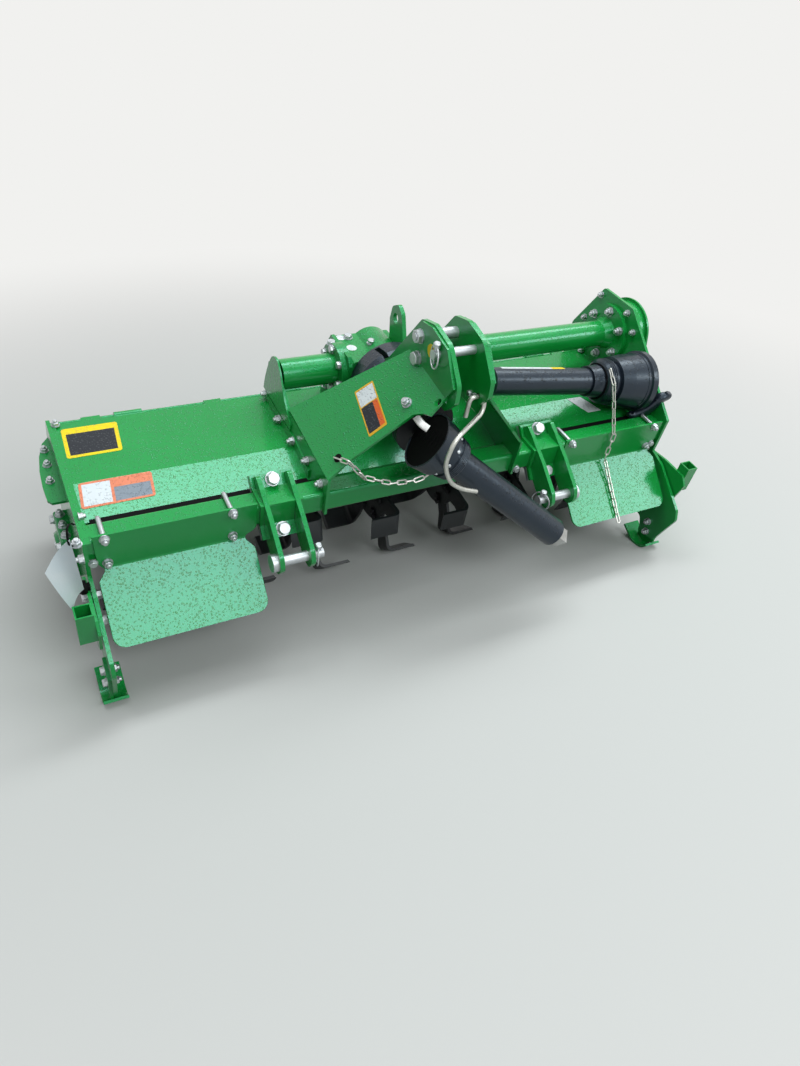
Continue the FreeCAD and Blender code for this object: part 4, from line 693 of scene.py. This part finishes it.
set_out("gearbox_left_heads", HEAD, ring_of(6, 47.0, -110, SHAFT_Y, SHAFT_Z, 20), LEFT, 10.0)
set_out("gearbox_right_heads", HEAD, ring_of(6, 47.0, 80, SHAFT_Y, SHAFT_Z, 20), RIGHT, 10.0)
set_out("gearbox_top_heads", HEAD, [(-57, 342, 148), (-107, 325, 148)], UP, 11.0)
set_out("gearbox_foot_nuts", NUT, [(x, y, 19) for x in (-99, 70) for y in (258, 342)], UP, 11.0)
BREATHER = [(0, 9, 1), (7, 9, 1), (7, 6, 0), (12, 8, 0), (15, 8, 0), (17, 6, 0)]
set_out("breather", BREATHER, [(-18, 300, 148)], UP)
set_out("drive_flange_nuts", NUT, ring_of(6, 62.0, 710, SHAFT_Y, SHAFT_Z, 27), LEFT, 12.0)
set_out("gear_plate_nuts", NUT, [(INNER_HALF, 366, 178), (INNER_HALF, 254, 184), (INNER_HALF, 212, 150),
                                 (INNER_HALF, 398, 92)], LEFT, 9.0)

# %% [markdown]
# ## The gear case lid
# Its bolts follow the belt shape of the lid: two circles and the straight lines that touch both. The
# belt is walked at even steps, 13 mm inside its edge.

# %% Lid bolts
def belt_walk(top, top_radius, foot, foot_radius, count):
    """Even steps round two circles in (Y, Z) and their outer tangents."""
    top, foot = np.array(top, float), np.array(foot, float)
    line = foot - top
    length = np.linalg.norm(line)
    line /= length
    side = np.array((-line[1], line[0]))
    lean = np.arcsin((top_radius - foot_radius) / length)
    base = np.arctan2(line[1], line[0])
    half = np.pi / 2 - lean
    over = base + half + np.linspace(0, 2 * (np.pi - half), 40)
    under = base - half + np.linspace(0, 2 * half, 40)
    loop = np.vstack([top + top_radius * np.stack([np.cos(over), np.sin(over)], -1),
                      foot + foot_radius * np.stack([np.cos(under), np.sin(under)], -1)])
    loop = np.vstack([loop, loop[:1]])
    run = np.concatenate([[0], np.cumsum(np.linalg.norm(np.diff(loop, axis=0), axis=1))])
    want = np.arange(count) * run[-1] / count
    return np.stack([np.interp(want, run, loop[:, 0]), np.interp(want, run, loop[:, 1])], -1)


ROTOR_Y, ROTOR_Z = 220.0, -218.0
LID_SEAT, LID_BOLTS = 792.0, 18
walk = belt_walk((SHAFT_Y, SHAFT_Z), 76.0, (ROTOR_Y, ROTOR_Z), 97.0, LID_BOLTS)
set_out("case_lid_heads", HEAD, np.column_stack([np.full(LID_BOLTS, LID_SEAT), walk]), RIGHT, 8.0)
set_out("case_plugs", HEAD, [(LID_SEAT, 300, 40), (LID_SEAT, 232, -120)], RIGHT, 11.0)
print("lid bolts", len(walk))

# %% Left end: bearing housing, shelf, nose and sockets
BLOCK_TOP, BLOCK_SEAT = ROTOR_Z + 68.0, -756.5
set_out("housing_top_nuts", NUT, [(-744, y, BLOCK_TOP) for y in (250, 214, 182)], UP, 10.0)
set_out("housing_face_heads", HEAD, [(BLOCK_SEAT, ROTOR_Y + y, ROTOR_Z + z)
                                     for y, z in ((-44, 46), (40, 50), (46, -34), (-46, -34))], LEFT, 11.0)
set_out("shelf_nuts", NUT, [(-749, 262, -64), (-746, 316, -64), (-744, 366, -64)], UP, 9.0)
BRACKET_OUT = 739.0
for side, hand in SIDES:
    holes = [(-26, -118), (-66, -150)]
    set_out("socket_heads_" + side, HEAD, [(hand * BRACKET_OUT, y, z) for y, z in holes], (hand, 0, 0), 11.0)
    set_out("socket_nuts_" + side, NUT, [(hand * INNER_HALF, y, z) for y, z in holes], (-hand, 0, 0), 11.0)
    shoe = [(-100, -262), (-108, -292)]
    set_out("shoe_heads_" + side, HEAD, [(hand * (PLATE_OUT + 6), y, z) for y, z in shoe], (hand, 0, 0), 10.0)
    set_out("shoe_nuts_" + side, NUT, [(hand * INNER_HALF, y, z) for y, z in shoe], (-hand, 0, 0), 10.0)

# %% [markdown]
# ## Tine bolts
# Two bolts hold each tine to its disc. Their places come from the same rule as the tines: seven discs
# at even steps, six tines on each, every disc turned ten degrees further. They ride with the rotor.

# %% Tine bolts
DISCS, TINES_EACH, DISC_HALF, TINE_GAUGE = 7, 6, 5.0, 8.0
ROTOR_GAP, DISC_END = 16, 97
DISC_STEP = (2 * (INNER_HALF - ROTOR_GAP - DISC_END)) / (DISCS - 1)
BOLT_REACHES = (67.0, 83.0)
spots, ways, backs = [], [], []
for number in range(DISCS * TINES_EACH):
    disc, tine = divmod(number, TINES_EACH)
    angle = np.radians(180 + tine * 60 + disc * 10) - TIP
    out = np.array((0.0, -np.sin(angle), np.cos(angle)))
    hand = 1 if tine % 2 else -1
    middle = np.array(((disc - 3) * DISC_STEP, ROTOR_Y, ROTOR_Z))
    for reach in BOLT_REACHES:
        spots.append(middle + out * reach + np.array((hand * (DISC_HALF + TINE_GAUGE), 0, 0)))
        backs.append(middle + out * reach - np.array((hand * DISC_HALF, 0, 0)))
        ways.append((hand, 0, 0))
set_out("tine_bolt_heads", HEAD[2:], spots, ways, 10.0, "rotor", DARK_STEEL_AND_SHADE, 12)
set_out("tine_bolt_nuts", HEAD[2:], backs, -np.array(ways), 10.0, "rotor", DARK_STEEL_AND_SHADE, 12)
print("tine bolts", len(spots))

# %% [markdown]
# ## The front driveline's neck
# The bell narrows to the guard tube through a neck with moulded ribs. A rib is one period of a raised
# cosine along the axis, so the neck is a lathe surface whose radius is a straight taper plus that wave.

# %% Ribbed neck
JOINT = np.array((0.0, -60.0, SHAFT_Z))
REACH = unit((280, -109, -209))


def ring_about(way, angle):
    """Directions square to way: cos a u + sin a v, where u is level."""
    u = unit(np.cross(UP, way))
    v = np.cross(way, u)
    return u * np.cos(angle)[:, None] + v * np.sin(angle)[:, None]


def shell(name, start, way, stations, radii, paint, columns=72):
    """A closed turned shell: start + s way + r(s) ring, its outline going out and back inside."""
    stations, radii = np.array(stations, float), np.array(radii, float)
    ring = ring_about(way, even_angles(columns))
    points = np.asarray(start, float) + stations[:, None, None] * way + radii[:, None, None] * ring
    faces = grid_faces(len(stations), columns, looped=True)
    return add_level(name, points, faces, "frame", paint)


stations = np.linspace(1.0, 24.0, 70)
taper = np.interp(stations, [0, 22, 27], [50.2, 46.2, 42.0])
ribs = taper + 0.3 + 1.1 * (1 - np.cos(2 * np.pi * stations / 4.6)) / 2
shell("front_neck_ribs", JOINT, REACH, np.concatenate([stations, [24.0, 1.0]]),
      np.concatenate([ribs, [44.0, 47.5]]), GUARD)
ways = ring_about(REACH, np.radians((95.0, 133.0, 172.0, 215.0, 280.0, 340.0)))
set_out("bell_screws", [(0, 7, 0), (2.5, 6.6, 0), (4.0, 4.5, 0), (4.4, 2.0, 0)],
        JOINT - REACH * 12 + ways * 51.3, ways, 7.5)

# %% [markdown]
# ## Painted shade at the joint: a black boot
# Between the gearbox guard and the front bell the joint lies in shade. A black boot closes the gap as
# painted shade, so the joint reads as one dark body: each row is a mix of the two end circles, and a cosine
# adds seven soft folds.

# %% Boot of painted shade
def circle(centre, way, radius, columns=72):
    """Points of a circle whose first axis is level."""
    return np.asarray(centre, float) + radius * ring_about(way, even_angles(columns))


FOLDS, FOLD_DEPTH = 7, 0.045
start = circle((0, -2, SHAFT_Z), unit(FRONT), 46.0)
stop = circle(JOINT - REACH * 60, REACH, 60.5)
share = np.linspace(0.0, 1.0, 57)
rows_of = start + share[:, None, None] * (stop - start)
hub = rows_of.mean(axis=1, keepdims=True)
fold = 1.0 + FOLD_DEPTH * np.cos(2 * np.pi * FOLDS * share)[:, None, None]
boot = hub + (rows_of - hub) * fold
# Painted shade: the boot stands in for the dark round the joint.
add_level("joint_shade_boot", boot, grid_faces(57, 72, turned=True), "frame", BLACK_RUBBER_AND_SHADE)

# %% The stored driveline: rib rings, wire ring, strap and shaft clip
STORE = np.array((231.0, 145.0, 113.8))
BELL_END = np.array((712.0, 109.5, 66.0))
STORE_WAY = unit(BELL_END - STORE)
STORE_LENGTH = np.linalg.norm(BELL_END - STORE)
BELL_START = STORE_LENGTH - 196.0
for number, (station, radius) in enumerate(((47.0, 56.3), (53.0, 56.3), (59.0, 56.3), (150.0, 72.0))):
    middle = STORE + STORE_WAY * (BELL_START + station)
    stations, radii = [-1.6, -0.8, 0.8, 1.6, 1.2, -1.2], np.array([0, 1.4, 1.4, 0, -2.5, -2.5]) + radius
    shell(f"store_bell_ring_{number}", middle, STORE_WAY, stations, radii, GUARD)
neck = STORE + STORE_WAY * (BELL_START + 33.0)
across = unit(np.cross(UP, STORE_WAY))
bent_rod("neck_wire_ring", arc(neck, across, np.cross(STORE_WAY, across), 44.6, 0, 354, 60), STORE_WAY, 1.6,
         closed=True, paint=BLACK_RUBBER_AND_SHADE)


def ribbon(name, path, wide, width, thickness, paint, body="frame"):
    """A strap: a rounded rectangle of width along the wide direction, carried along a path."""
    path = np.asarray(path, float)
    way = np.gradient(path, axis=0)
    way /= np.linalg.norm(way, axis=1)[:, None]
    wide = np.broadcast_to(unit(wide), path.shape)
    wide = wide - (wide * way).sum(1)[:, None] * way
    wide /= np.linalg.norm(wide, axis=1)[:, None]
    thin = np.cross(way, wide)
    reach_w, reach_t = bar_section(1.0, 1.0).T
    width = np.broadcast_to(width, len(path))[:, None, None]
    thickness = np.broadcast_to(thickness, len(path))[:, None, None]
    points = (path[:, None] + wide[:, None] * reach_w[:, None] * width
              + thin[:, None] * reach_t[:, None] * thickness)
    faces = grid_faces(len(path), 16, turned=True)
    return add_level(name, points, faces, body, paint, 60.0)


swell = np.sin(np.linspace(0.25, np.pi - 0.35, 40))
strap = [(652, 62, 2), (672, 57, 2), (700, 50, 20), (722, 44, 52), (735, 38, 64), (738, 36, 74)]
ribbon("bell_strap", curve_through(strap, 40), STORE_WAY, 8 + 22 * swell, 8 + 16 * swell, GUARD)
clip = [(-66, -12, 178), (-58, -26, 168), (-46, -36, 160)]
ribbon("shaft_clip", curve_through(clip, 12), (0.6, 0.3, 0.6), 17.0, 4.0, DRAWN)
print("driveline dressed")

# %% [markdown]
# ## Labels
# The machine has vinyl labels: thin, smooth and less glossy than the paint. A picture could be laid on
# each, but these are blank, so each is a rounded patch of a few plain colours. A patch is a closed sheet
# 0.4 mm thick. Its UV map runs from 0 to 1 over the label, and the colours are picked by comparing U and
# V with the share where each field ends.

# %% Patches
def patch(name, corners, corner, lift, paint, steps=8, thick=0.4):
    """A rounded rectangle through four corners, from the lower left one on, anticlockwise."""
    a, b, c, d = np.asarray(corners, float)
    width, height = np.linalg.norm(b - a), np.linalg.norm(d - a)
    quarter = np.linspace(0, np.pi / 2, steps)
    rim = []
    for start, (cu, cv) in enumerate([(width - corner, height - corner), (corner, height - corner),
                                      (corner, corner), (width - corner, corner)]):
        t = quarter + start * np.pi / 2
        rim.append(np.stack([cu + corner * np.cos(t), cv + corner * np.sin(t)], -1))
    rim = np.vstack(rim)
    u, v = rim[:, 0] / width, rim[:, 1] / height
    weight = np.stack([(1 - u) * (1 - v), u * (1 - v), u * v, (1 - u) * v], -1)
    flat = weight @ np.stack([a, b, c, d])
    normal = unit(np.cross(b - a, d - a))
    count = len(rim)
    points = np.vstack([flat + normal * lift, flat + normal * (lift + thick)])
    item = add_level(name, points, grid_faces(2, count), "frame", paint)
    uv = item.data.uv_layers.new(name="label")
    share = np.tile(np.stack([u, v], -1), (2, 1))
    index = np.zeros(len(item.data.loops), np.int64)
    item.data.loops.foreach_get("vertex_index", index)
    uv.data.foreach_set("uv", share[index].reshape(-1))
    return item


def label_vinyl(name, ground, fields):
    """Vinyl of one ground colour with fields: colour, and its lowest and highest U and V."""
    finish, tree, shader = new_finish(name, Roughness=0.42, Specular_IOR_Level=0.3)
    mark = node(tree, "ShaderNodeSeparateXYZ", None,
                {"Vector": node(tree, "ShaderNodeTexCoord").outputs["UV"]}).outputs
    colour = linear(ground)
    for code, u0, u1, v0, v1 in fields:
        inside = 1.0
        for axis, operation, edge in ((0, "GREATER_THAN", u0), (0, "LESS_THAN", u1),
                                      (1, "GREATER_THAN", v0), (1, "LESS_THAN", v1)):
            test = node(tree, "ShaderNodeMath", {"operation": operation}, {0: mark[axis], 1: edge}).outputs[0]
            inside = node(tree, "ShaderNodeMath", TIMES, {0: inside, 1: test}).outputs[0]
        colour = node(tree, "ShaderNodeMix", COLOURS, {0: inside, 6: colour, 7: linear(code)}).outputs[2]
    wet, dome = rain_drops(tree)
    share = node(tree, "ShaderNodeMath", TIMES, {0: wet, 1: 0.12}).outputs[0]
    colour = node(tree, "ShaderNodeMix", COLOURS, {0: share, 6: colour, 7: linear("#8b8f92")}).outputs[2]
    tree.links.new(colour, shader.inputs["Base Color"])
    relief(tree, shader, (dome, 0.0014, 0.8))
    return finish


YELLOW_BLACK = label_vinyl("yellow_black_vinyl", "#f2d51d", [("#20242b", 0.07, 0.93, 0.08, 0.80)])
ORANGE_WHITE = label_vinyl("orange_white_vinyl", "#df7f5a",
                           [("#d3dade", 0.04, 0.42, 0.08, 0.92), ("#7d8894", 0.46, 0.96, 0.08, 0.62)])
ORANGE_TALL = label_vinyl("orange_tall_vinyl", "#e8b22c",
                          [("#dfe4e6", 0.06, 0.94, 0.62, 0.96), ("#20242b", 0.06, 0.68, 0.05, 0.60),
                           ("#e2662d", 0.68, 0.94, 0.05, 0.60)])
WHITE = label_vinyl("white_vinyl", "#d8dcdf", [])
YELLOW = label_vinyl("yellow_vinyl", "#f1d11f", [])

patch("label_deck_rear", [(-710, 248, 0), (-600, 249, 0), (-591, 348, 0), (-706, 347, 0)],
      6, 0.1, YELLOW_BLACK)
patch("label_deck_front", [(-711, 105, -13.2), (-568, 106, -13.0), (-562, 167, -0.2), (-705, 167, -0.2)],
      6, 0.3, ORANGE_WHITE)
patch("label_deck_right", [(560, 112, -11.8), (604, 112, -11.8), (568, 166, -0.4), (524, 166, -0.4)],
      3, 0.3, WHITE)
PANEL_POINT, PANEL_NORMAL = np.array((-246, -10, 46.0)), unit(np.cross((197, 94, 228.0), (0, 228, 20.0)))


def on_panel(x, y):
    """The point of the left brace's slanting panel above (x, y)."""
    off = PANEL_NORMAL[0] * (x - PANEL_POINT[0]) + PANEL_NORMAL[1] * (y - PANEL_POINT[1])
    return (x, y, PANEL_POINT[2] - off / PANEL_NORMAL[2])


patch("label_brace", [on_panel(-163, -6), on_panel(-132, -15), on_panel(-116, 97), on_panel(-147, 110)],
      3, 0.2, ORANGE_TALL)


def round_label(name, spot, way, radius, paint):
    """A round disc of 0.4 mm on a flat face: the labels, and the black disc of painted shade in the chain
    hole.
    """
    rings = [(0, radius, 0), (0.4, radius, 0)]
    return set_out(name, rings, [spot], [way], 12.0, "frame", paint, 36)


# Painted shade: a black disc stands in for the dark inside the chain hole in the brace.
round_label("chain_hole_shade_disc", on_panel(-217, 14), PANEL_NORMAL * np.sign(PANEL_NORMAL[2]), 9.5, BLACK_RUBBER_AND_SHADE)
round_label("label_mast", (-MAST_CHEEK, 8, 316), LEFT, 14.0, YELLOW)
round_label("label_gearbox_front", (-66, 300, 148.05), UP, 12.0, WHITE)
round_label("label_gearbox_rear", (-74, 346, 148.05), UP, 11.0, WHITE)
print("labels on")

# %% Label on the stored guard: a strip bent round the tube
def bent_label(name, start, way, stations, angles, radius, paint):
    """A thin closed strip on a cylinder: start + s way + r ring, r at two heights."""
    a = np.radians(np.linspace(*angles, 9))
    reach = np.concatenate([np.full(9, radius + 0.5), np.full(9, radius + 0.1)])
    ring = ring_about(way, np.concatenate([a, a[::-1]])) * reach[:, None]
    s = np.linspace(*stations, 12)
    points = np.asarray(start) + s[:, None, None] * way + ring
    return add_level(name, points, grid_faces(12, 18, turned=True), "frame", paint)


bent_label("label_guard_white", STORE, STORE_WAY, (24.0, 172.0), (60.0, 84.0), 33.5, WHITE)
bent_label("label_guard_yellow", STORE, STORE_WAY, (172.0, 211.0), (60.0, 84.0), 33.5, YELLOW)

# %% [markdown]
# ## The paper tag
# A blank card tag hangs from a bolt at the left end by a black tie. A cloth simulation could bend it,
# but card only curls one way, and a formula does that exactly: its points are a weighted mix of its four
# corners, pushed out along the normal by a sine across its width.

# %% Paper tag
TAG_CORNERS = np.array([(-743, -58, -58), (-769, -58, -109), (-801, -62, 5), (-751, -58, 75)], float)


def tag_sheet(corners, bow=9.0, rows=24, columns=14, thick=0.6):
    """Bilinear patch plus bow sin(pi v) along its normal, doubled into a closed sheet."""
    a, b, c, d = corners
    s, t = np.linspace(0, 1, rows)[:, None, None], np.linspace(0, 1, columns)[None, :, None]
    flat = (1 - s) * (1 - t) * a + (1 - s) * t * b + s * t * c + s * (1 - t) * d
    normal = unit(np.cross(b - a, d - a))
    curl = bow * np.sin(np.pi * t) - 5.0 * np.sin(np.pi * s) + 4.0 * s * t
    face = flat + normal * curl
    back = (face - normal * thick)[:, ::-1]
    return np.concatenate([face, back], axis=1)


sheet = tag_sheet(TAG_CORNERS)
PAPER, tree, shader = new_finish("card_paper", Roughness=0.7)
place = node(tree, "ShaderNodeTexCoord").outputs["Object"]
fibre = node(tree, "ShaderNodeTexNoise", None,
             {"Vector": place, "Scale": 1.0 / 0.004, "Detail": 6.0}).outputs["Fac"]
damp = node(tree, "ShaderNodeTexNoise", None,
            {"Vector": place, "Scale": 1.0 / 0.05, "Detail": 2.0}).outputs["Fac"]
shade = node(tree, "ShaderNodeMix", COLOURS, {0: damp, 6: linear("#dceef5"), 7: linear("#f6fbfd")}).outputs[2]
tree.links.new(shade, shader.inputs["Base Color"])
relief(tree, shader, (fibre, 0.0002, 1.0))
add_level("paper_tag", sheet, grid_faces(*sheet.shape[:2]), "frame", PAPER)
tie = curve_through([(-736, -9, 60), (-744, -22, 76), (-752, -44, 84), (-754, -58, 66), (-748, -54, 52)], 20)
ribbon("tag_tie", tie, (1, 0, 0.4), 4.0, 1.6, BLACK_RUBBER_AND_SHADE)
set_out("nose_nuts", NUT, [(-738, -4, 4), (-PLATE_OUT, -6, -33)], [UP, LEFT], 10.0)
set_out("tag_knob", [(0, 8, 0), (6, 8, 0), (6, 13, 0), (10, 14, 0), (18, 13, 0), (21, 9, 0)],
        [(-PLATE_OUT, -36, -78)], LEFT, 12.0, "frame", BLACK_RUBBER_AND_SHADE)
print("tag hung")
